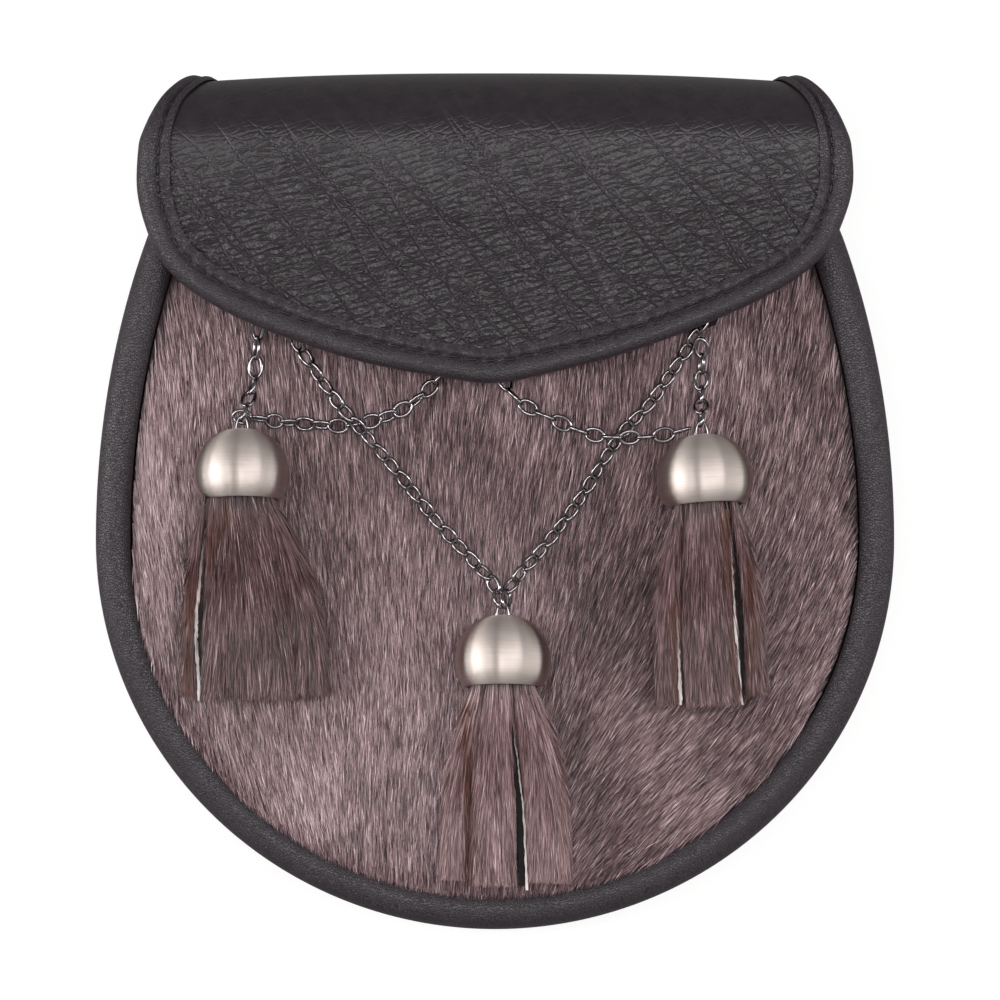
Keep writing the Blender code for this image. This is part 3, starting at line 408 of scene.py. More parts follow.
def hairs(name, lines, width, tone, finish, seed):
    """Hairs from their middle lines (hairs, steps, 3). Each is a flat ribbon that tapers to a point, rolled
    by a random angle. On the map its tone runs across, and the way from root to tip runs up."""
    random = np.random.default_rng(seed)
    count, steps = lines.shape[:2]
    ahead = unit(np.gradient(lines, axis=1))
    side = np.cross(ahead, (0.0, 0.0, 1.0))
    side /= np.maximum(np.linalg.norm(side, axis=-1, keepdims=True), 1e-9)
    roll = random.uniform(-HAIR_ROLL, HAIR_ROLL, (count, 1, 1))
    side = side * np.cos(roll) + np.cross(side, ahead) * np.sin(roll)
    t = np.linspace(0, 1, steps)
    taper = (1 - t**3)[None, :, None] * np.asarray(width).reshape(-1, 1, 1) / 2
    left, right = (lines - side * taper)[:, :-1], (lines + side * taper)[:, :-1]
    points = np.concatenate([np.stack([left, right], 2).reshape(count, -1, 3), lines[:, -1:]], 1)
    per_hair = points.shape[1]
    start = (np.arange(count) * per_hair)[:, None, None]
    pair = 2 * np.arange(steps - 2)[None, :, None]
    body = (start + pair + np.array([0, 1, 3, 2])).reshape(-1, 4)
    tip = start[:, 0] + np.array([per_hair - 3, per_hair - 2, per_hair - 1])
    map_up = np.append(np.repeat(t[:-1], 2), t[-1])
    uv = np.stack(np.broadcast_arrays(tone[:, None], map_up[None]), -1).reshape(-1, 2)
    uv = 0.02 + 0.96 * np.clip(uv, 0, 1)
    return piece(name, points, [body, tip], finish, uv=uv, closed=False)


def fur(name, scale):
    """Dyed guard hair: its tone picks a colour of the scale, and each hair is darker at its root. Hair is
    keratin, with an IOR near 1.55, and smooth enough to shine along its length."""
    made, tree, shader = finish_of(name)
    spot = put(tree, "SeparateXYZ", {0: put(tree, "UVMap", uv_map="OFBake")})
    ramp = put(tree, "ValToRGB", {"Fac": spot.outputs["X"]})
    stops = ramp.color_ramp.elements
    stops[0].color, stops[1].color = linear(scale[0]), linear(scale[-1])
    for number, colour in enumerate(scale[1:-1], 1):
        stops.new(number / (len(scale) - 1)).color = linear(colour)
    rooted = put(tree, "MapRange", {"Value": spot.outputs["Y"], "From Max": 0.65, "To Min": 0.30})
    shade = put(tree, "Mix", {0: 1.0, 6: ramp, 7: rooted}, data_type="RGBA", blend_type="MULTIPLY")
    wire(tree, shader, {"Base Color": shade.outputs[2], "Roughness": 0.48, "IOR": 1.55})
    wire(tree, shader, {"Specular IOR Level": 0.45})
    return made


front_fur = fur("grey_brown_seal_fur", ("#2c1d1f", "#5c4548", "#947679", "#c5a7aa", "#efd6d9"))
# The roots between the hairs are dull and dark, in specks of about 1.4 mm.
hide_finish = speckled("dark_hair_roots", "#3a2e31", "#66575a", 700.0, 0.8)

rings = np.append(np.linspace(1.0, 0.02, HIDE_RINGS), 0.0)[:-1]
at = np.linspace(0, len(panel_edge), HIDE_STATIONS, endpoint=False).astype(int)
flat = np.array([0, WIDEST_Y]) + rings[:, None, None] * (panel_edge[at] - (0, WIDEST_Y))
high = front_z(flat[..., 0], flat[..., 1]) - HIDE_DROP
top = np.concatenate([flat, high[..., None]], -1).reshape(-1, 3)
low = top - (0, 0, PANEL_THICKNESS - HIDE_DROP)
middle = np.array([[0, WIDEST_Y, PANEL_EDGE_Z + PANEL_CROWN - HIDE_DROP]])
count = len(top)
side = np.arange(HIDE_STATIONS)
ahead = (side + 1) % HIDE_STATIONS
inner = count - HIDE_STATIONS
disc = quads(HIDE_RINGS, HIDE_STATIONS, wrap_columns=True)
hub = np.stack([inner + side, inner + ahead, np.full(HIDE_STATIONS, 2 * count)], 1)
inner += count
under_hub = np.stack([inner + ahead, inner + side, np.full(HIDE_STATIONS, 2 * count + 1)], 1)
edge = np.stack([side, count + side, count + ahead, ahead], 1)
hide = piece(
    "fur_hide",
    np.concatenate([top, low, middle, middle - (0, 0, PANEL_THICKNESS - HIDE_DROP)]),
    [disc, disc[:, ::-1] + count, edge, hub, under_hub],
    hide_finish,
)
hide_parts("fur_panel")

for number in range(HAIR_PIECES):
    random = np.random.default_rng(100 + number)
    spin = random.uniform(0, 2 * math.pi, HAIR_COUNT)
    reach = np.sqrt(random.uniform(0, 1, HAIR_COUNT)) * ROOT_REACH
    ray = np.stack([np.cos(spin), np.sin(spin)], -1)
    root = ray * (reach * panel_reach(ray[:, 0], ray[:, 1] + WIDEST_Y))[:, None] + (0, WIDEST_Y)
    way = comb(root[:, 0], root[:, 1])
    sway = LOCK_SWAY * np.stack([ripple(*root.T, LOCK_WAVE, 7), ripple(*root.T, LOCK_WAVE, 8)], -1)
    lock = np.floor(root / LOCK_WIDTH + sway)
    jitter = np.sin(lock @ LOCK_HASH) * HASH_SIZE
    jitter = jitter - np.floor(jitter)
    lock_middle = (lock + jitter) * LOCK_WIDTH
    long = HAIR_LENGTH * random.uniform(*HAIR_LENGTHS, HAIR_COUNT)
    stray = random.normal(0, HAIR_STRAY, HAIR_COUNT)
    across_way = np.stack([way[:, 1], -way[:, 0]], -1)
    pull = ((lock_middle - root) * across_way).sum(-1) * LOCK_PULL + LOCK_SHIFT * (jitter[:, 0] - 0.5)
    tip = root + way * long[:, None] + across_way * (pull + stray * long)[:, None]
    from_middle = tip - (0, WIDEST_Y)
    far = np.linalg.norm(from_middle, axis=-1)
    near = np.linalg.norm(root - (0, WIDEST_Y), axis=-1)
    allowed = panel_reach(tip[:, 0], tip[:, 1]) + OVER_RIM * random.uniform(0, 1, HAIR_COUNT)
    keep = np.where(far > allowed, np.clip((allowed - near) / np.maximum(far - near, 1e-6), 0.12, 1), 1.0)
    t = np.linspace(0, 1, HAIR_STEPS)[None, :, None]
    line = root[:, None] + (tip - root)[:, None] * keep[:, None, None] * t
    line = line + (across_way * (pull * keep)[:, None])[:, None] * (t**2 - t)
    rise = HIDE_DROP * (t[..., 0] ** 0.7) * random.uniform(*HAIR_RISES, (HAIR_COUNT, 1))
    z = front_z(line[..., 0], line[..., 1]) - HIDE_DROP + rise
    z = np.maximum(z, rim_z(line[..., 0], line[..., 1]) + 0.0002 + 0.0003 * t[..., 0])
    tone = COAT_TONE + 0.08 * ripple(*root.T, 0.035, 11)
    tone = tone + 0.06 * ripple(root[:, 0] * 3.0, root[:, 1], 0.018, 12)
    # Painted light mixed with the fur's own mottle: paler on the left, darker on the right.
    for x, y, wide, high, more in MOTTLES_AND_PAINTED_LIGHT:
        tone += more * np.exp(-(((root[:, 0] - x) / wide) ** 2) - ((root[:, 1] - y) / high) ** 2)
    tone += LOCK_TONE * (jitter[:, 1] - 0.5) + random.normal(0, HAIR_TONE, HAIR_COUNT)
    width = HAIR_WIDTH * (0.55 + 0.85 * random.uniform(0, 1, HAIR_COUNT) ** 3)
    line = np.concatenate([line, z[..., None]], -1)
    coat = hairs("front_fur_" + str(number + 1), line, width, tone, front_fur, 200 + number)

# The strap loops, the closing stud and the plates that the chains hang on.
# The loops are strips of the same leather, sewn to the back. The stud and the plates are steel, out of sight
# under the flap, and painted near black as painted shade, so that no lit spot of them shows there.
nickel, tree, shader = finish_of("dark_nickel_plate")
dull = put(tree, "TexNoise", {"Vector": put(tree, "TexCoord").outputs["Object"], "Scale": 900.0})
rough = put(tree, "MapRange", {"Value": dull, "To Min": 0.09, "To Max": 0.18})
wire(tree, shader, {"Roughness": rough, "Metallic": 1.0, "Base Color": linear("#8f8a8d")})

for name in ("strap_loop_left", "strap_loop_right"):
    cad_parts[name].material_slots[0].material = rim_leather
# Painted shade: the steel under the flap is painted near black.
plate_painted_dark, tree, shader = finish_of("steel_plate_painted_dark_as_shade")
wire(tree, shader, {"Base Color": linear("#1d1a1b"), "Metallic": 1.0, "Roughness": 0.55})
for name in ("closing_stud", "chain_anchor_left", "chain_anchor_center", "chain_anchor_right"):
    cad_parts[name].material_slots[0].material = plate_painted_dark

# The bells.
# Domes spun from pewter sheet and brushed on the lathe, so fine lines run round them and stretch each light
# into a bright upright band. Their mouths turn in, and a wire eye is soldered into each crown.
BELL_RADIUS = 0.01075
BELL_HEIGHT = 0.0162
BELL_WALL = 0.0009
BELL_NOD = math.radians(7.0)
BELL_ROWS = 60
BELL_SIDES = 72
CORNER_CUTS = 4
# Way down from the crown as a share of the height, and radius as a share of the bell's.
BELL_DOWN = (0.000, 0.035, 0.130, 0.280, 0.460, 0.660, 0.830, 0.940, 1.000)
BELL_OUT = (0.000, 0.380, 0.640, 0.840, 0.960, 1.000, 0.965, 0.880, 0.775)
# Name, the mouth's middle as shares across and up, and the turn on the front in degrees.
BELLS = (("left", -0.6275, 0.1026, 0.0), ("center", 0.0195, -0.3718, 0.0), ("right", 0.5240, 0.0885, 3.5))
LINK_WIRE = 0.00068
LINK_WIDTH = 0.0036
EYE_HEIGHT = 0.0030
EYE_SINK = 0.0004
EYE_BEND = math.cos(math.pi / 10)
EYE_ROOT = 0.22
EYE_STEPS = 25
EYE_SIDES = 10


def on_front(across, up):
    """A place on the front from its shares of the half width and of the way down to the bottom."""
    return np.stack([np.asarray(across) * HALF_WIDTH, WIDEST_Y + np.asarray(up) * BOTTOM_REACH], -1)


def bell_axes(turn_deg):
    """A bell's own axes: across, up out of the front, and to its crown, which nods towards the front."""
    turned = math.radians(turn_deg)
    level = math.cos(BELL_NOD)
    crown = np.array([-math.sin(turned) * level, math.cos(turned) * level, -math.sin(BELL_NOD)])
    across = np.array([math.cos(turned), math.sin(turned), 0.0])
    return across, np.cross(crown, across), crown


def bell_mouth(across, up, turn_deg):
    """The middle of the bell's mouth, as high as lets the whole bell just clear the fur."""
    x, y = on_front(across, up)
    crown = bell_axes(turn_deg)[2]
    lowest = 0.0
    for down, share in zip(BELL_DOWN[1:], BELL_OUT[1:]):
        along = (1 - down) * BELL_HEIGHT
        reach = share * BELL_RADIUS * math.cos(BELL_NOD) - along * crown[2]
        sides = x + np.linspace(-0.5, 0.5, 5) * BELL_RADIUS
        lowest = max(lowest, front_z(sides, y + along * crown[1] + 0 * sides).max() + reach)
    return np.array([x, y, lowest + GAP])


def rounded_profile(across, up, count):
    """The profile with its corners cut a few times over, at equal steps of its length."""
    line = np.stack([across, up], 1)
    for _ in range(CORNER_CUTS):
        a, b = line[:-1], line[1:]
        cuts = np.stack([0.75 * a + 0.25 * b, 0.25 * a + 0.75 * b], 1).reshape(-1, 2)
        line = np.concatenate([line[:1], cuts, line[-1:]])
    return along_line(line, count)


pewter, tree, shader = finish_of("lathe_brushed_pewter")
spot = put(tree, "UVMap", uv_map="OFBake")
stretched = put(tree, "Mapping", {"Vector": spot, "Scale": (6.0, 320.0, 1.0)})
lines = put(tree, "TexNoise", {"Vector": stretched, "Scale": 1.0, "Detail": 3.0})
tint = put(tree, "Mix", {0: lines, 6: linear("#bfb1aa"), 7: linear("#e8dcd5")}, data_type="RGBA")
rough = put(tree, "MapRange", {"Value": lines, "To Min": 0.36, "To Max": 0.45})
scored = put(tree, "Bump", {"Height": lines, "Distance": 0.00003, "Strength": 0.5})
round_bell = put(tree, "Tangent", direction_type="UV_MAP", uv_map="OFBake")
wire(tree, shader, {"Base Color": tint.outputs[2], "Metallic": 1.0, "Roughness": rough, "Normal": scored})
wire(tree, shader, {"Tangent": round_bell, "Anisotropic": 0.93, "Anisotropic Rotation": 0.25})

down, out = np.array(BELL_DOWN), np.array(BELL_OUT)
outer = rounded_profile(out * BELL_RADIUS, (1 - down) * BELL_HEIGHT, BELL_ROWS)
outer[:, 0] *= BELL_RADIUS / outer[:, 0].max()
inner = outer[::-1] * (1 - BELL_WALL / BELL_RADIUS)
profile = np.concatenate([outer[1:], inner[:-1]])
turn = np.linspace(0, 2 * math.pi, BELL_SIDES + 1)
for name, across, up, turn_deg in BELLS:
    x_axis, y_axis, crown = bell_axes(turn_deg)
    mouth = bell_mouth(across, up, turn_deg)
    rings = profile[:, None, :1] * (np.cos(turn)[:, None] * x_axis + np.sin(turn)[:, None] * y_axis)
    rings = rings + profile[:, None, 1:] * crown + mouth
    poles = np.array([mouth + crown * outer[0, 1], mouth + crown * inner[-1, 1]])
    columns = BELL_SIDES + 1
    count = len(profile) * columns
    side = np.arange(BELL_SIDES)
    end = (len(profile) - 1) * columns
    caps = [
        np.stack([np.full(BELL_SIDES, count), side, side + 1], 1),
        np.stack([np.full(BELL_SIDES, count + 1), end + side + 1, end + side], 1),
    ]
    map_up = np.linspace(0.02, 0.98, len(profile))
    uv = np.stack(np.broadcast_arrays(turn[None] / (2 * math.pi), map_up[:, None]), -1).reshape(-1, 2)
    uv = np.concatenate([uv, [(0.5, 0.0), (0.5, 1.0)]])
    points = np.concatenate([rings.reshape(-1, 3), poles])
    dome = piece("bell_dome_" + name, points, [quads(len(profile), columns), *caps], pewter, uv=uv)
    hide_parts("bell_" + name)
    bow = np.linspace(-EYE_ROOT, math.pi + EYE_ROOT, EYE_STEPS)
    half_across = (LINK_WIDTH - LINK_WIRE) / 2
    foot = mouth + crown * (BELL_HEIGHT - EYE_SINK)
    line = foot + half_across * np.cos(bow)[:, None] * x_axis + EYE_HEIGHT * np.sin(bow)[:, None] * crown
    out = np.cos(bow)[:, None] * x_axis + np.sin(bow)[:, None] * crown
    ring = full_turn(EYE_SIDES)
    sections = line[:, None] + LINK_WIRE / 2 * (
        np.cos(ring)[None, :, None] * out[:, None] + np.sin(ring)[None, :, None] * y_axis
    )
    eye = swept("bell_eye_" + name, sections, nickel)

# The tassels.
# Strips of the fur, cut with the hide left on, bunched in each bell and spreading to straight-cut feet. The
# cut hide shows as a thin white line along some strips.
# Black ribbons in the slits between some strips are painted shade.
TASSEL_LENGTH = 0.0455
TASSEL_THICKNESS = 0.0070
NECK_THICKNESS = 0.0090
TASSEL_FLARE = 2.2
TASSEL_SETTLE = 1.6
STRIP_SKIN = 0.0007
STRIP_ROWS = 40
STRIP_SIDES = 32
TUFT_COUNT = 5200
TUFT_LENGTH = 0.0085
# A strip's share of the tufts: a fixed part, and one that grows with its width.
TUFT_SHARES = (0.25, 2.25)
# Where tufts grow: round the strip's face, what share grows under it, and along it; and their lengths.
TUFT_AROUND = (-0.04, 0.54)
TUFTS_UNDER = 0.15
TUFT_START = (-0.06, 0.97)
TUFT_LENGTHS = (0.6, 1.2)
TUFT_END_STRAY = 0.004
TUFT_SPLAY = 0.007
BLADE_SPLAY = 0.008
TUFT_LIFT = (0.0001, 0.0008)
TUFT_TONE = 0.22
BLADE_TONE = 0.12
SIDE_SHADE = 0.20
NECK_SPREAD = 1.13
FLARE = 0.0024
# Where a strip's core starts and ends, as shares of its length from the bell's mouth.
CORE_SPAN = (-0.10, 0.985)
# How far the russet hairs stray beyond their lines, what share inside is russet, and its last tone.
RUSSET_STRAY = 0.0004
RUSSET_SHARE = 0.75
RUSSET_TONES = 0.12
# A cut line lies as high as most of the hairs nearest to it, evened out over a few of its rows.
CUT_ROWS = 60
NEAR_HAIRS = 40
EVEN_REACH = 6
EDGE_DEPTH = 0.0009
SLIT_DEPTH = 0.0002
CUT_MARGIN = 0.00005
# The share of the hairs that cross a slit and a white edge.
SLIT_CROSSED = 0.06
EDGE_CROSSED = 0.10
# Each strip: left and right edge at the foot, left and right edge at the neck, as shares of the bell's
# radius; its underside and top as shares of TASSEL_THICKNESS; its length as a share of TASSEL_LENGTH.
STRIPS = {
    "left": (
        (-1.32, -0.9, -0.7, -0.64, 0.0, 0.8, 0.985),
        (-0.87, 1.12, -0.66, 0.42, 0.0, 1.0, 1.0),
        (1.05, 1.8, 0.34, 0.58, 0.0, 0.78, 0.975),
    ),
    "center": (
        (-1.32, -0.74, -0.58, -0.32, 0.0, 0.85, 0.97),
        (-0.7, 0.27, -0.38, 0.2, 0.0, 1.0, 1.0),
        (0.48, 1.44, 0.16, 0.58, 0.0, 0.95, 0.985),
    ),
    "right": (
        (-1.27, -0.7, -0.58, -0.44, 0.0, 0.8, 0.985),
        (-0.66, 0.5, -0.44, 0.4, 0.0, 1.0, 1.0),
        (0.62, 1.09, 0.42, 0.58, 0.0, 0.85, 0.96),
    ),
}
# What shows between and along the strips. Each line: tassel, how far it is sunk into the fur in mm, its
# shade at the top and at the foot (0 is black, painted shade in a slit, 0.5 russet and 1 the white of the
# cut hide), and its rows: place across and up, and width in mm.
CUT_LINES = (
    ("left", 0.3, (0.0, 0.0), (
        (-0.719, -0.05, 0.1), (-0.725, -0.13, 0.7), (-0.731, -0.19, 1.0), (-0.734, -0.26, 0.8),
        (-0.734, -0.37, 0.1),
    )),
    ("left", 0.0, (0.7, 1.0), (
        (-0.716, 0.03, 0.4), (-0.727, -0.05, 0.6), (-0.743, -0.19, 0.7), (-0.745, -0.26, 0.8),
        (-0.735, -0.41, 0.9),
    )),
    ("center", 0.3, (0.0, 0.0), (
        (0.042, -0.46, 0.1), (0.049, -0.56, 0.9), (0.061, -0.69, 1.3), (0.066, -0.81, 1.6),
        (0.069, -0.885, 1.5),
    )),
    ("center", 0.0, (0.75, 1.0), (
        (0.047, -0.5, 0.2), (0.056, -0.56, 0.3), (0.071, -0.69, 0.4), (0.08, -0.895, 0.5),
    )),
    ("right", 0.0, (0.45, 1.0), (
        (0.448, -0.14, 0.2), (0.455, -0.24, 0.4), (0.459, -0.33, 0.6), (0.461, -0.42, 0.8),
    )),
    ("right", 0.0, (0.4, 1.15), (
        (0.572, 0.08, 0.6), (0.58, 0.02, 0.5), (0.588, -0.07, 0.4), (0.595, -0.19, 0.5),
        (0.615, -0.42, 0.6),
    )),
    ("right", 0.3, (0.0, 0.0), (
        (0.588, 0.02, 0.1), (0.599, -0.07, 0.6), (0.607, -0.15, 1.1), (0.615, -0.27, 0.9),
        (0.62, -0.39, 0.1),
    )),
)
# Where the fur is russet: tassel, and rows as above.
RUSSET_LINES = (
    ("left", ((-0.665, 0.11, 3.5), (-0.69, 0.03, 4.5), (-0.715, -0.06, 1.0))),
    ("left", ((-0.745, -0.06, 1.5), (-0.765, -0.2, 2.4), (-0.765, -0.41, 2.8))),
    ("center", ((-0.068, -0.4, 1.8), (-0.067, -0.56, 2.2), (-0.063, -0.74, 2.6), (-0.062, -0.91, 2.4))),
    ("right", ((0.56, 0.09, 1.4), (0.57, 0.02, 1.6), (0.583, -0.1, 1.2), (0.6, -0.4, 1.2))),
    ("right", ((0.44, -0.12, 1.2), (0.445, -0.28, 2.2), (0.447, -0.42, 2.6))),
    ("right", ((0.625, -0.03, 1.2), (0.64, -0.2, 2.2), (0.642, -0.42, 3.2))),
)
# How pale each tassel's hairs are, from the scale's second to its last colour. The first is the russet.
TASSEL_TONES = {"left": 0.36, "center": 0.64, "right": 0.42}


def strip_place(bell, row, around, along, lift):
    """A place on a strip of a tassel. Its section is a rounded oblong: the cosine and sine of the way
    round, over the fourth root of the sum of their fourth powers. Its edges spread and it settles on the
    fur towards the foot."""
    _, across, up, turn_deg = bell
    foot_left, foot_right, neck_left, neck_right, under, over, reach = row
    x_axis, _, crown = bell_axes(turn_deg)
    mouth = bell_mouth(across, up, turn_deg)
    share = np.maximum(along, 0.0)
    spread = 1 - (1 - np.minimum(share, 1.0)) ** TASSEL_FLARE
    neck_left, neck_right = neck_left * NECK_SPREAD, neck_right * NECK_SPREAD
    left = (neck_left + (foot_left - neck_left) * spread) * BELL_RADIUS
    right = (neck_right + (foot_right - neck_right) * spread) * BELL_RADIUS
    down = -crown * (along * TASSEL_LENGTH * reach)[..., None]
    beds = [
        front_z(mouth[0] + x_axis[0] * edge + down[..., 0], mouth[1] + x_axis[1] * edge + down[..., 1])
        for edge in (left, (left + right) / 2, right)
    ]
    bed = np.max(beds, axis=0) + GAP
    neck_low = mouth[2] - NECK_THICKNESS / 2
    settle = eased(np.minimum(1.0, share * TASSEL_SETTLE))
    foot_low = bed + under * TASSEL_THICKNESS
    low = np.maximum(neck_low + (foot_low - neck_low) * settle, foot_low)
    high = neck_low + NECK_THICKNESS + (bed + over * TASSEL_THICKNESS - neck_low - NECK_THICKNESS) * settle
    angle = 2 * math.pi * around
    c, s = np.cos(angle), np.sin(angle)
    norm = (c**4 + s**4) ** 0.25
    wide = (right - left) / 2 - STRIP_SKIN + lift
    tall = (high - low) / 2 - STRIP_SKIN + lift
    sideways = (left + right) / 2 + wide * c / norm
    z = (low + high) / 2 + tall * s / norm
    flat = mouth[:2] + x_axis[:2] * sideways[..., None] + down[..., :2]
    return np.concatenate([flat, z[..., None]], -1)


BROWNS = ("#74473a", "#241314", "#4a2f30", "#765657", "#a58586", "#d6b8b8")
tassel_fur = fur("brown_cut_seal_fur", BROWNS)
# Colours of the cut lines: white and russet hide, and black as painted shade in the slits.
cut_hide_and_slit_shade, tree, shader = finish_of("cut_white_hide_and_painted_slit_shade")
spot = put(tree, "SeparateXYZ", {0: put(tree, "UVMap", uv_map="OFBake")})
nap = put(tree, "TexNoise", {"Vector": put(tree, "TexCoord").outputs["Object"], "Scale": 1500.0})
wear_and_painted_light = put(tree, "Math", {0: nap, 1: 0.16, 2: spot.outputs["X"]}, operation="MULTIPLY_ADD")
whites = put(tree, "ValToRGB", {"Fac": wear_and_painted_light})
stops = whites.color_ramp.elements
stops[0].color, stops[1].color = linear("#100c0b"), linear("#e9dfdc")
stops[0].position = 0.10
stops.new(0.52).color = linear("#7f5848")
wire(tree, shader, {"Base Color": whites, "Roughness": 0.85})


def off_line(x, y, rows):
    """Way of each place beyond the sides of a nearly upright line, or a high number past its ends."""
    rows = np.array(rows)[::-1]
    place = on_front(rows[:, 0], rows[:, 1])
    middle = np.interp(y, place[:, 1], place[:, 0], left=1.0, right=1.0)
    return np.abs(x - middle) - np.interp(y, place[:, 1], rows[:, 2]) / 2000


for number, bell in enumerate(BELLS):
    name = bell[0]
    cores, lines, tones, widths = [], [], [], []
    for row_number, row in enumerate(STRIPS[name]):
        along = np.linspace(*CORE_SPAN, STRIP_ROWS)
        around, along = np.meshgrid(np.arange(STRIP_SIDES) / STRIP_SIDES, along)
        core = strip_place(bell, row, around, along, 0.0)
        cores.append(swept(f"tassel_{name}_core_{row_number + 1}", core, hide_finish))
        random = np.random.default_rng(300 + 10 * number + row_number)
        share = (row[1] - row[0]) / sum(other[1] - other[0] for other in STRIPS[name])
        count = int(TUFT_COUNT * (TUFT_SHARES[0] + TUFT_SHARES[1] * share))
        around = random.uniform(*TUFT_AROUND, count)
        around = np.where(random.uniform(0, 1, count) < TUFTS_UNDER, 1.5 - around, around)
        start = random.uniform(*TUFT_START, count)
        long = TUFT_LENGTH / TASSEL_LENGTH * random.uniform(*TUFT_LENGTHS, count)
        end = np.minimum(start + long, 1.0 + random.normal(0, TUFT_END_STRAY, count))
        t = np.linspace(0, 1, HAIR_STEPS)[None]
        along = start[:, None] + (end - start)[:, None] * t
        splay = random.normal(0, TUFT_SPLAY, count)
        splay = splay + BLADE_SPLAY * ripple(around * 9.0, start * 6.0, 1.6, 40 + number)
        turned = around[:, None] + splay[:, None] * t
        lift = TUFT_LIFT[0] + TUFT_LIFT[1] * t**0.8 * random.uniform(0.3, 1.3, (count, 1))
        out = np.cos(2 * math.pi * around)
        is_first, is_last = row_number == 0, row_number == len(STRIPS[name]) - 1
        outer = is_last * np.clip(out, 0, 1) + is_first * np.clip(-out, 0, 1)
        flare = FLARE * outer**6 * random.uniform(0, 1, count) ** 4 * np.exp(-(((start - 0.25) / 0.3) ** 2))
        lines.append(strip_place(bell, row, turned, along, lift + flare[:, None] * t))
        blade = ripple(around * 14.0, start * 2.0, 1.1, 50 + 10 * number + row_number)
        tone = TASSEL_TONES[name] + BLADE_TONE * blade + random.normal(0, TUFT_TONE, count)
        tone = tone - SIDE_SHADE * np.abs(out) ** 8
        tones.append(0.2 + 0.8 * np.clip(tone + 0.2 * flare / FLARE, 0, 1))
        widths.append(HAIR_WIDTH * (0.45 + 0.6 * random.uniform(0, 1, count) ** 2))
    lines, tones, widths = np.concatenate(lines), np.concatenate(tones), np.concatenate(widths)
    for owner, rows in RUSSET_LINES:
        beyond = off_line(lines[:, 1, 0], lines[:, 1, 1], rows)
        inside = (owner == name) & (beyond < random.normal(0, RUSSET_STRAY, len(lines)))
        dyed = inside & (random.uniform(0, 1, len(lines)) < RUSSET_SHARE)
        tones = np.where(dyed, random.uniform(0, RUSSET_TONES, len(lines)), tones)
    clear = np.ones(len(lines), bool)
    for line_number, (owner, sunk_mm, shades, rows) in enumerate(CUT_LINES):
        if owner != name:
            continue
        at = np.linspace(0, len(rows) - 1, CUT_ROWS)
        across, up, wide = (np.interp(at, np.arange(len(rows)), column) for column in zip(*rows))
        flat = on_front(across, up)
        flat[:, 0] += 0.00012 * ripple(at * 9.0, at, 2.0, 70 + line_number)
        apart = np.linalg.norm(lines[None, :, 1, :2] - flat[:, None], axis=-1)
        near = np.argpartition(apart, NEAR_HAIRS, axis=1)[:, :NEAR_HAIRS]
        tops = np.percentile(lines[near, 1, 2], 80, axis=1)
        evened = np.full(2 * EVEN_REACH + 1, 1 / (2 * EVEN_REACH + 1))
        tops = np.convolve(np.pad(tops, EVEN_REACH, mode="edge"), evened, "valid") - sunk_mm / 1000
        square = np.array([(-0.5, 0.0), (0.5, 0.0), (0.5, -1.0), (-0.5, -1.0)])
        wide = wide * (1 + 0.35 * ripple(at * 20.0, at, 3.0, 80 + line_number))
        wide = wide[:, None, None] / 1000
        sections = np.concatenate([flat, tops[:, None]], 1)[:, None]
        sections = sections + square[:, :1] * np.array([1.0, 0, 0]) * wide
        sections = sections + square[:, 1:] * np.array([0, 0, SLIT_DEPTH if sunk_mm else EDGE_DEPTH])
        # Shade 0 is black, painted shade in a slit.
        shade = np.repeat(np.clip(np.linspace(*shades, CUT_ROWS), 0, 1), len(square))
        uv = np.stack([0.9 * shade, np.repeat(at / at[-1], len(square))], 1)
        cores.append(swept(f"tassel_{name}_cut_{line_number + 1}", sections, cut_hide_and_slit_shade, sharp_deg=40, uv=uv))
        crossing = random.uniform(0, 1, len(lines)) < (SLIT_CROSSED if sunk_mm else EDGE_CROSSED)
        clear &= crossing | (off_line(lines[..., 0], lines[..., 1], rows) > CUT_MARGIN).all(1)
    coat = hairs(f"tassel_{name}_fur", lines[clear], widths[clear], tones[clear], tassel_fur, 400 + number)
    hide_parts("tassel_" + name)

# The chains.
# Cable chain of oval links in darkened nickel wire. Pulled tight, its links settle at half a right angle to
# the front, in turn to either side. In a slack swag they lie flat and stand on edge in turn.
LINK_PITCH = 0.00385
LINK_OVERLAP = 0.0001
LINK_STEPS = 18
LINK_SIDES = 7
LINK_THICK = 0.00088
SWAG_BODY = 0.0024
CHAIN_SPREAD = 0.00124
ANCHORS = {"left": (-0.556, 0.602), "right": (0.525, 0.577)}
PLATE_RADIUS = 0.0032
PLATE_THICKNESS = 0.0008
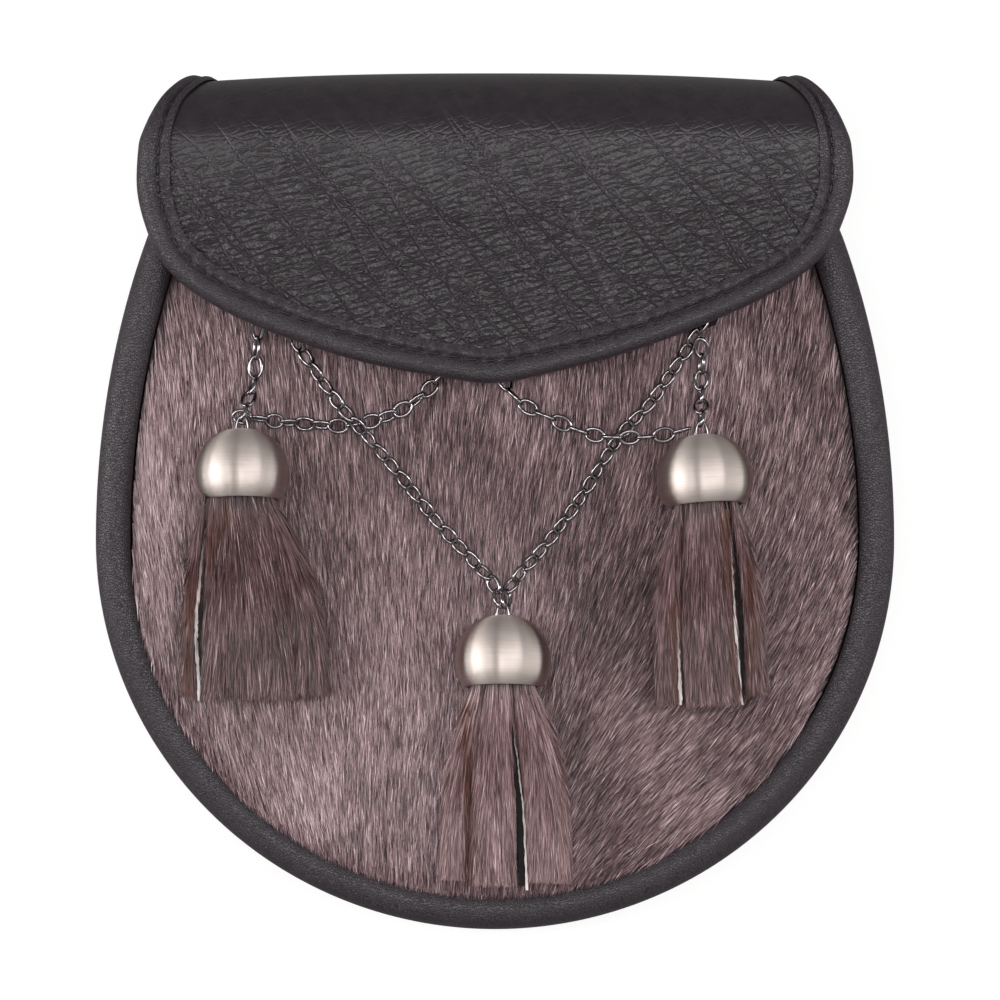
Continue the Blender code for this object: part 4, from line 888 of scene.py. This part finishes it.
# Each row: place across, place up, and how many chain thicknesses another chain lifts it.
ROUTES = {
    "drop_left": ((-0.59, 0.565, 0.5), (-0.593, 0.52, 0.0), (-0.597, 0.45, 0.0), (-0.602, 0.4, 0.3)),
    "drop_right": ((0.512, 0.512, 0.9), (0.515, 0.47, 0.3), (0.514, 0.43, 0.0), (0.513, 0.385, 0.3)),
    "long_left": (
        (-0.51, 0.53, 0.0), (-0.46, 0.45, 0.0), (-0.405, 0.37, 0.4), (-0.353, 0.305, 1.0),
        (-0.3, 0.242, 0.4), (-0.24, 0.17, 0.0), (-0.135, 0.036, 0.0), (-0.06, -0.045, 0.2),
        (-0.026, -0.084, 0.9), (0.004, -0.118, 1.7),
    ),
    "long_right": (
        (0.49, 0.505, 0.0), (0.435, 0.421, 0.0), (0.3825, 0.344, 0.0), (0.3075, 0.262, 0.0),
        (0.21, 0.103, 0.0), (0.135, 0.0, 0.0), (0.098, -0.045, 0.2), (0.064, -0.084, 0.9),
        (0.035, -0.118, 1.7),
    ),
    "swag_left": (
        (-0.648, 0.316, 2.0), (-0.595, 0.312, 2.1), (-0.545, 0.303, 1.2), (-0.5, 0.299, 0.1),
        (-0.435, 0.295, 0.0), (-0.353, 0.293, 0.0), (-0.24, 0.328, 0.0), (-0.165, 0.385, 0.0),
        (-0.115, 0.45, 0.0), (-0.092, 0.515, 0.5),
    ),
    "swag_right": (
        (-0.014, 0.515, 0.5), (0.005, 0.45, 0.0), (0.03, 0.39, 0.0), (0.0725, 0.344, 0.0),
        (0.1475, 0.308, 0.0), (0.2275, 0.272, 0.5), (0.312, 0.262, 1.6), (0.38, 0.264, 0.9),
        (0.43, 0.27, 1.0), (0.48, 0.285, 2.1),
    ),
}
# Each chain: the turn of its odd and of its even links about the chain, in degrees, and how far they stray.
LINK_TURNS = {"drop": (20, 78, 12), "long": (42, -46, 5), "swag": (6, 80, 16)}


def smooth_line(points, samples=24):
    """A curve of one cubic to the span, which runs at each point as its two neighbours lie."""
    points = np.asarray(points, float)
    ends = np.concatenate([[2 * points[0] - points[1]], points, [2 * points[-1] - points[-2]]])
    t = np.linspace(0, 1, samples, endpoint=False)[None, :, None]
    before, start, end, after = (ends[at : len(ends) - 3 + at, None] for at in range(4))
    leave, arrive = (end - before) / 2, (after - start) / 2
    spans = start + leave * t + (3 * (end - start) - 2 * leave - arrive) * t**2
    spans = spans + (2 * (start - end) + leave + arrive) * t**3
    return np.concatenate([spans.reshape(-1, 3), points[-1:]])


def chain_links(name, line, turns, seed):
    """Oval wire links end to end along the line. A link is a ring of wire: cosine and sine of the way
    round, times half its length and half its width, thickened by a circle of wire."""
    random = np.random.default_rng(seed)
    count = 2 * max(1, round(way_along(line)[-1] / LINK_PITCH / 2))
    joints = along_line(line, count + 1)
    span = np.diff(joints, axis=0)
    pitch = np.linalg.norm(span, axis=1)
    ahead = span / pitch[:, None]
    side = unit(np.cross((0, 0, 1.0), ahead))
    up = np.cross(ahead, side)
    roll = np.where(np.arange(count) % 2, turns[1], turns[0]) + random.normal(0, turns[2], count)
    roll = np.radians(roll)[:, None]
    flat = np.cos(roll) * side + np.sin(roll) * up
    face = np.cos(roll) * up - np.sin(roll) * side
    angle = full_turn(LINK_STEPS)
    ring = full_turn(LINK_SIDES)
    half_long = (pitch - LINK_OVERLAP) / 2 + LINK_WIRE / 2
    half_wide = (LINK_WIDTH - LINK_WIRE) / 2
    out_a, out_b = np.cos(angle)[None, :, None], np.sin(angle)[None, :, None]
    middle = (joints[:-1] + span / 2)[:, None] + half_long[:, None, None] * out_a * ahead[:, None]
    middle = middle + half_wide * out_b * flat[:, None]
    out = out_a * ahead[:, None] + out_b * flat[:, None]
    ring_a, ring_b = np.cos(ring)[None, None, :, None], np.sin(ring)[None, None, :, None]
    wire_wall = ring_a * out[:, :, None] + ring_b * face[:, None, None]
    points = middle[:, :, None] + LINK_THICK / 2 * wire_wall
    one = quads(LINK_STEPS, LINK_SIDES, True, True)
    faces = (one[None] + (np.arange(count) * LINK_STEPS * LINK_SIDES)[:, None, None]).reshape(-1, 4)
    made = piece(name + "_links", points, [faces], nickel)
    return made


def chain_bed(name, lying):
    """The chain's middle line at its height over the fur."""
    rows = np.array(ROUTES[name])
    flat = on_front(rows[:, 0], rows[:, 1])
    high = front_z(flat[:, 0], flat[:, 1]) + GAP + lying / 2 + rows[:, 2] * (SWAG_BODY + GAP)
    return np.column_stack([flat, high])


def past(place, neighbour, beyond):
    """The place, moved on from its neighbour."""
    way = place - neighbour
    return place + way / np.linalg.norm(way) * beyond


eyes = {}
for name, across, up, turn_deg in BELLS:
    crown = bell_axes(turn_deg)[2]
    eyes[name] = bell_mouth(across, up, turn_deg) + crown * (BELL_HEIGHT + EYE_HEIGHT * EYE_BEND - EYE_SINK)
for number, (name, sign) in enumerate((("left", 1), ("right", -1))):
    x, y = on_front(*ANCHORS[name])
    around = np.linspace(0, 2 * math.pi, 44)
    seat = front_z(x + PLATE_RADIUS * np.cos(around), y + PLATE_RADIUS * np.sin(around)).max() + GAP
    hook = np.array([x, y, seat + PLATE_THICKNESS + GAP + LINK_WIRE / 2])
    line = chain_bed("long_" + name, LINK_WIDTH)
    bar = eyes["center"] - (sign * CHAIN_SPREAD / 2, 0, 0)
    line = np.array([past(hook, line[0], -LINK_WIRE / 2), *line, past(bar, line[-1], LINK_WIRE / 2 + GAP)])
    links = chain_links("long_chain_" + name, smooth_line(line), LINK_TURNS["long"], 500 + number)
    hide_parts("long_chain_" + name)
    line = chain_bed("drop_" + name, SWAG_BODY)
    line = np.array([*line, past(eyes[name], line[-1], LINK_WIRE / 2)])
    links = chain_links("drop_chain_" + name, smooth_line(line), LINK_TURNS["drop"], 510 + number)
    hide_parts("drop_chain_" + name)
    line = chain_bed("swag_" + name, SWAG_BODY)
    links = chain_links("swag_chain_" + name, smooth_line(line), LINK_TURNS["swag"], 520 + number)
    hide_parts("swag_chain_" + name)

# The flap.
# A leather sheet that runs over the front, round the top and down on to the back. Its hide is embossed with
# long slanting creases crossed by fine wrinkles, and smooths out where it bends over the top.
# The creases are painted paler, partly as pigment wear and partly as painted highlight.
FLAP_TOP = 0.09665
FLAP_TIP = 0.0262
FLAP_HALF_WIDTH = 0.0807
FLAP_LEATHER = 0.0020
FLAP_Z = POUCH_DEPTH + 0.0096
FLAP_DROOP = 0.0060
FLAP_DROOP_POWER = 2.5
FLAP_ROLL = 0.0156
FLAP_TAIL = 0.0110
FLAP_LEAN = 0.040
FLAP_ROWS = 120
FLAP_COLUMNS = 101
BINDING_WIDTH = 0.0076
BINDING_THICKNESS = 0.0050
BINDING_NOSE = BINDING_THICKNESS / 4
BINDING_END = 0.85
TAIL_WIDTH = 0.83
# Distance up from the tip as a share of the flat run, and half width as a share of the flap's.
EDGE_UP = (0.000, 0.022, 0.060, 0.105, 0.165, 0.235, 0.315, 0.415, 0.530, 0.660, 0.820, 1.000)
EDGE_OUT = (0.010, 0.110, 0.235, 0.360, 0.485, 0.610, 0.730, 0.845, 0.925, 0.968, 0.995, 0.990)
# Share of the way round the roll, and half width there.
ROLL_UP = (0.12, 0.25, 0.38, 0.52, 0.68, 0.84, 1.0)
ROLL_OUT = (0.972, 0.940, 0.900, 0.865, 0.845, 0.835, 0.83)

run_end = FLAP_TOP - FLAP_LEATHER / 2 - FLAP_ROLL
front_run = run_end - FLAP_TIP
half_high = (FLAP_Z - (BACK_RISE - GAP - FLAP_LEATHER / 2)) / 2
turn = np.linspace(0, math.pi, OUTLINE_SAMPLES)
roll_y = run_end + FLAP_ROLL * np.sin(turn)
roll_z = FLAP_Z - half_high + half_high * np.cos(turn)
roll_s = way_along(np.column_stack([roll_y, roll_z])) + front_run
roll_tilt = np.unwrap(np.arctan2(-np.gradient(roll_z, roll_s), np.gradient(roll_y, roll_s)))
roll_end = roll_s[-1]


def flap_place(u, s, lift):
    """A place on the flap at u across and s along from the tip: flat, then half an ellipse, then flat
    again. The sides droop with a power of u, less so towards the tail, and the front leans a little."""
    tilt = np.where(s < front_run, 0.0, np.where(s > roll_end, math.pi, np.interp(s, roll_s, roll_tilt)))
    y = np.where(s < front_run, FLAP_TIP + s, np.interp(s, roll_s, roll_y) - np.maximum(s - roll_end, 0))
    z = np.interp(s, roll_s, roll_z)
    lean = FLAP_LEAN * u * np.clip(1 - s / front_run, 0, 1)
    droop = FLAP_DROOP * np.abs(u / FLAP_HALF_WIDTH) ** FLAP_DROOP_POWER * (1 + np.cos(tilt)) / 2
    out = lift - droop
    return np.stack(np.broadcast_arrays(u, y + lean + out * np.sin(tilt), z + out * np.cos(tilt)), -1)


rows = [(EDGE_UP[1] * front_run, -EDGE_OUT[1] * FLAP_HALF_WIDTH)]
rows += [(up * front_run, out * FLAP_HALF_WIDTH) for up, out in zip(EDGE_UP, EDGE_OUT)]
round_run = roll_end - front_run
rows += [(front_run + up * round_run, out * FLAP_HALF_WIDTH) for up, out in zip(ROLL_UP, ROLL_OUT)]
rows.append((roll_end + FLAP_TAIL, TAIL_WIDTH * FLAP_HALF_WIDTH))
flap_edge = smooth_line(np.column_stack([rows, np.zeros(len(rows))]), 16)[16:, :2]
edge_ahead = unit(np.gradient(flap_edge, axis=0))
edge_inward = np.stack([edge_ahead[:, 1], -edge_ahead[:, 0]], 1)
flat_in = np.clip((flap_edge[:, 0] - 0.9 * front_run) / (0.1 * front_run), 0, 1)[:, None]
edge_inward = edge_inward * (1 - flat_in) + np.array([0, -1.0]) * flat_in
tip_in = np.clip(1 - flap_edge[:, 1:] / (0.06 * FLAP_HALF_WIDTH), 0, 1)
edge_inward = edge_inward * (1 - tip_in) + np.array([1.05, 0.0]) * tip_in

embossed, tree, shader = finish_of("black_crease_embossed_cowhide")
place = put(tree, "TexCoord").outputs["Object"]
relief, wear_and_painted_light = 0.0, 0.0
# Each set of creases: gap in mm, slant in degrees, its cells' length over their width, how far the lines
# stray and how wide a crease is, as shares of the gap, its depth in mm, and how much paler it is painted,
# partly as pigment wear and partly as painted highlight on the crease rims.
for gap_mm, slant_deg, stretch, wander, sharp, deep_mm, pale in (
    (10.5, -54.0, 16.0, 0.35, 0.036, 0.40, 0.90),
    (8.0, -38.0, 9.0, 0.5, 0.036, 0.26, 0.60),
    (5.0, 17.0, 7.0, 0.6, 0.055, 0.17, 0.35),
    (1.4, 17.0, 2.6, 0.6, 0.22, 0.19, 0.10),
    (0.8, -50.0, 1.5, 0.4, 0.30, 0.07, 0.0),
):
    turned = put(tree, "Mapping", {"Vector": place, "Rotation": (0.0, 0.0, math.radians(-slant_deg))})
    waves = {"Vector": turned, "Scale": 350 / gap_mm, "Detail": 1.0}
    sway = put(tree, "TexNoise", waves, noise_dimensions="2D")
    push = {0: sway.outputs["Color"], 1: (wander * gap_mm / 1000,) * 3, 2: turned}
    moved = put(tree, "VectorMath", push, operation="MULTIPLY_ADD")
    drawn = put(tree, "Mapping", {"Vector": moved, "Scale": (1 / stretch, 1.0, 0.3)})
    spread = {"Vector": drawn, "Scale": 1000 / gap_mm}
    cells = put(tree, "TexVoronoi", spread, feature="DISTANCE_TO_EDGE", voronoi_dimensions="2D")
    ridge = put(tree, "MapRange", {"Value": cells, "From Max": sharp}, interpolation_type="SMOOTHSTEP")
    deep = {0: ridge, 1: deep_mm / 1000, 2: relief}
    relief = put(tree, "Math", deep, operation="MULTIPLY_ADD")
    less = {0: ridge, 1: -pale, 2: wear_and_painted_light}
    wear_and_painted_light = put(tree, "Math", less, operation="MULTIPLY_ADD")
upward = put(tree, "SeparateXYZ", {0: place})
ragged = put(tree, "TexNoise", {"Vector": place, "Scale": 45.0, "Detail": 2.0})
level = put(tree, "Math", {0: ragged, 1: 0.03, 2: upward.outputs["Y"]}, operation="MULTIPLY_ADD")
fade = {"Value": level, "From Min": 0.106, "From Max": 0.076, "To Min": 0.10, "To Max": 1.0}
smooth = put(tree, "MapRange", fade)
raised = put(tree, "Bump", {"Height": relief, "Distance": 1.0, "Strength": smooth})
mottle = put(tree, "TexNoise", {"Vector": place, "Scale": 300.0, "Detail": 5.0, "Roughness": 0.75})
# Paler creases: partly pigment wear, partly painted highlight, less so over the smooth top.
seen = put(tree, "MapRange", {"Value": wear_and_painted_light, "From Min": -1.90, "From Max": -0.9, "To Max": 0.20})
crease_wear_and_highlight = put(tree, "Math", {0: seen, 1: smooth}, operation="MULTIPLY")
paler = put(tree, "Math", {0: mottle, 1: 0.4, 2: crease_wear_and_highlight}, operation="MULTIPLY_ADD")
colour = put(tree, "Mix", {0: paler, 6: linear("#0b080b"), 7: linear("#4f454c")}, data_type="RGBA")
wire(tree, shader, {"Base Color": colour.outputs[2], "Normal": raised})
wire(tree, shader, {"Roughness": 0.38, "Specular IOR Level": 0.42})

inset = flap_edge + edge_inward * (BINDING_NOSE + GAP)
inset = along_line(inset, FLAP_ROWS)
across = np.linspace(-1, 1, FLAP_COLUMNS)
s = np.broadcast_to(inset[:, :1], (FLAP_ROWS, FLAP_COLUMNS))
u = np.maximum(inset[:, 1:], 0.0004) * across
top = flap_place(u, s, FLAP_LEATHER / 2)
low = flap_place(u, s, -FLAP_LEATHER / 2)
flap = swept("flap_leather", np.concatenate([top, low[:, ::-1]], 1), embossed, sharp_deg=45)
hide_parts("flap")

# The flap's binding.
# A leather strip folded round the flap's edge and sewn through, rolled full along its outer half. The
# seam's stitches sink into a groove near the strip's inner edge.
NOSE_REACH = 0.0022
FULL_HEIGHT = 0.00262
PUCKER = 0.00034
SEAM_IN = 0.0049
SEAM_LIFT = 0.00156
STITCH_PITCH = 0.0043
STITCH_LENGTH = 0.0031
STITCH_WIDTH = 0.0006
STITCH_STEPS = 7
STITCH_SIDES = 6
STITCH_DIP = 0.00035
# How much narrower the binding is past the front, and where along the front run the narrowing starts.
NARROWING = 0.22
NARROWING_START = 0.9
LIP_THICKNESS = 0.00025
# The binding's face from its nose in. Each row: way in, height, and how much of the pucker it takes.
BINDING_FACE = (
    (0.0034, 0.00238, 0.0), (0.0041, 0.00204, 0.0), (0.0046, 0.00152, -0.05), (0.0049, 0.00140, 0.0),
    (0.0053, 0.00176, 0.7), (0.0058, 0.00222, 1.0), (0.0064, 0.00212, 0.7), (0.0071, 0.00178, 0.2),
)

slot = FLAP_LEATHER / 2 + GAP
turn = np.linspace(0, math.pi / 2, 10)
nose = [(NOSE_REACH * (1 - math.cos(a)), FULL_HEIGHT * math.sin(a), 0.0) for a in turn]
lip = [(BINDING_WIDTH, slot + LIP_THICKNESS, 0.0), (BINDING_WIDTH, slot, 0.0), (BINDING_NOSE, slot, 0.0)]
upper = [*nose, *BINDING_FACE, *lip]
section = np.array(upper + [(out, -high, 0.0) for out, high, _ in upper[:0:-1]])
bound = flap_edge[flap_edge[:, 0] < front_run + (roll_end - front_run) * BINDING_END]
bound_in = edge_inward[: len(bound)]
order = np.concatenate([np.arange(len(bound))[::-1], np.arange(1, len(bound))])
sign = np.concatenate([-np.ones(len(bound)), np.ones(len(bound) - 1)])
past_front = (bound[order, :1] - NARROWING_START * front_run) / (0.35 * front_run)
narrow = 1 - NARROWING * np.clip(past_front, 0, 1)
along_s = bound[order, :1] + bound_in[order, :1] * section[None, :, 0] * narrow
along_u = bound[order, 1:] + bound_in[order, 1:] * section[None, :, 0] * narrow
along_u = np.maximum(along_u, 0.0) * sign[:, None]
seam_line = flap_place(bound[order, 1] * sign, bound[order, 0], slot)
way = way_along(seam_line)
pucker = PUCKER * (np.cos(2 * math.pi * way / STITCH_PITCH) + 0.9 * ripple(way, way * 0, 0.0022, 90))
pucker = pucker * np.clip(1 - (bound[order, 0] - 0.85 * front_run) / (0.2 * front_run), 0, 1)
sections = flap_place(along_u, along_s, section[None, :, 1] + section[None, :, 2] * pucker[:, None])
binding = swept("flap_binding_leather", sections, rim_leather, sharp_deg=50)
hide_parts("flap_binding")

# Waxed black thread: the wax gives it a low gloss, and its twist shows as specks of about 0.4 mm.
thread = speckled("black_waxed_thread", "#040404", "#121011", 2500.0, 0.55)


def stitches(name, line, up, seed):
    """Thread stitches along a line, each a short rod with round ends that dips into its holes: its half
    width is the square root of one less the square of its way, and its height falls with the fourth power
    of it."""
    random = np.random.default_rng(seed)
    count = max(2, round(way_along(line)[-1] / STITCH_PITCH))
    both = along_line(np.concatenate([line, up], 1), 2 * count + 1)[1::2]
    middle, out = both[:, :3], unit(both[:, 3:])
    ahead = unit(np.gradient(middle, axis=0))
    side = np.cross(out, ahead)
    t = np.linspace(-0.98, 0.98, STITCH_STEPS)[None, :, None, None]
    ring = full_turn(STITCH_SIDES)[None, None, :, None]
    half = STITCH_LENGTH / 2 * random.uniform(0.92, 1.05, count)[:, None, None, None]
    thick = STITCH_WIDTH / 2 * (1 - np.abs(t) ** 5) ** 0.5 + 0.00003
    points = middle[:, None, None] + ahead[:, None, None] * half * t
    points = points - out[:, None, None] * STITCH_DIP * t**4
    points = points + thick * (np.cos(ring) * side[:, None, None] + np.sin(ring) * out[:, None, None])
    one = quads(STITCH_STEPS, STITCH_SIDES, False, True)
    rounds = np.arange(STITCH_SIDES)
    lids = np.stack([rounds[::-1], (STITCH_STEPS - 1) * STITCH_SIDES + rounds])
    base = (np.arange(count) * STITCH_STEPS * STITCH_SIDES)[:, None, None]
    face_sets = [(one[None] + base).reshape(-1, 4), (lids[None] + base).reshape(-1, STITCH_SIDES)]
    made = piece(name, points, face_sets, thread, closed=False)


seam = bound + bound_in * SEAM_IN * narrow[len(bound) - 1 :]
seam = seam[seam[:, 1] > 0.0006]
both_sides = np.concatenate([seam[::-1] * (1, -1), seam])
line = flap_place(both_sides[:, 1], both_sides[:, 0], SEAM_LIFT)
above = flap_place(both_sides[:, 1], both_sides[:, 0], SEAM_LIFT + 0.001)
stitches("flap_seam_stitches", line, above - line, 600)

# The table, the light and the camera.
# A white table that glows as in a light tent, under a long lens straight over the pouch. Two tall soft boxes
# draw the bells' upright bands, and three weaker ones fill the leather's edges and top. The table is kept
# out of reflections, so that shiny surfaces keep their dark edges.
VIEW_WIDTH = 0.225
CAMERA_HEIGHT = 1.6
SHARP_Z = 0.036
VIEW_MIDDLE = (0.001125, 0.0001)
SENSOR = 36.0
TABLE_HALF = 1.5
# Each soft box: name, place, target, width and height, and power in watts.
SOFT_BOXES = (
    ("left_soft_box", (-0.96, 0.10, 0.75), (0, 0, 0.04), (0.30, 1.3), 7.8),
    ("middle_soft_box", (-0.38, 0.05, 1.75), (0, 0, 0.04), (0.60, 0.9), 2.6),
    ("right_soft_box", (0.37, 0.10, 1.15), (0, 0, 0.04), (0.24, 1.3), 8.5),
    ("side_soft_box", (1.10, 0.00, 0.34), (0, 0, 0.03), (0.40, 1.2), 3.6),
    ("low_left_soft_box", (-1.10, 0.00, 0.30), (0, 0, 0.03), (0.40, 1.2), 4.0),
)

table, tree, shader = finish_of("pale_matt_table")
wire(tree, shader, {"Base Color": linear("#8a8988"), "Roughness": 0.9})
wire(tree, shader, {"Emission Color": linear("#ffffff"), "Emission Strength": 0.8})
corners = np.array([(-1, -1, 0), (1, -1, 0), (1, 1, 0), (-1, 1, 0)]) * TABLE_HALF
floor = piece("table_top", corners, [np.array([[0, 1, 2, 3]])], table, closed=False)
floor.visible_glossy = False

for name, place, target, size, power in SOFT_BOXES:
    light = bpy.data.lights.new(name, "AREA")
    light.shape = "RECTANGLE"
    light.size, light.size_y = size
    light.energy = power
    made = bpy.data.objects.new(name, light)
    made.location = place
    made.rotation_mode = "QUATERNION"
    made.rotation_quaternion = (Vector(target) - Vector(place)).to_track_quat("-Z", "Y")
    bpy.context.scene.collection.objects.link(made)

world = bpy.data.worlds.new("studio")
bpy.context.scene.world = world
world.use_nodes = True
world.node_tree.nodes["Background"].inputs["Color"].default_value = linear("#fbfafa")
world.node_tree.nodes["Background"].inputs["Strength"].default_value = 0.28
bpy.context.scene.view_settings.view_transform = "Standard"

lens = bpy.data.cameras.new("camera")
lens.sensor_width = SENSOR
lens.lens = SENSOR * (CAMERA_HEIGHT - SHARP_Z) / VIEW_WIDTH
lens.clip_start, lens.clip_end = 0.05, 10.0
camera = bpy.data.objects.new("camera", lens)
camera.location = (*VIEW_MIDDLE, CAMERA_HEIGHT)
bpy.context.scene.collection.objects.link(camera)
bpy.context.scene.camera = camera
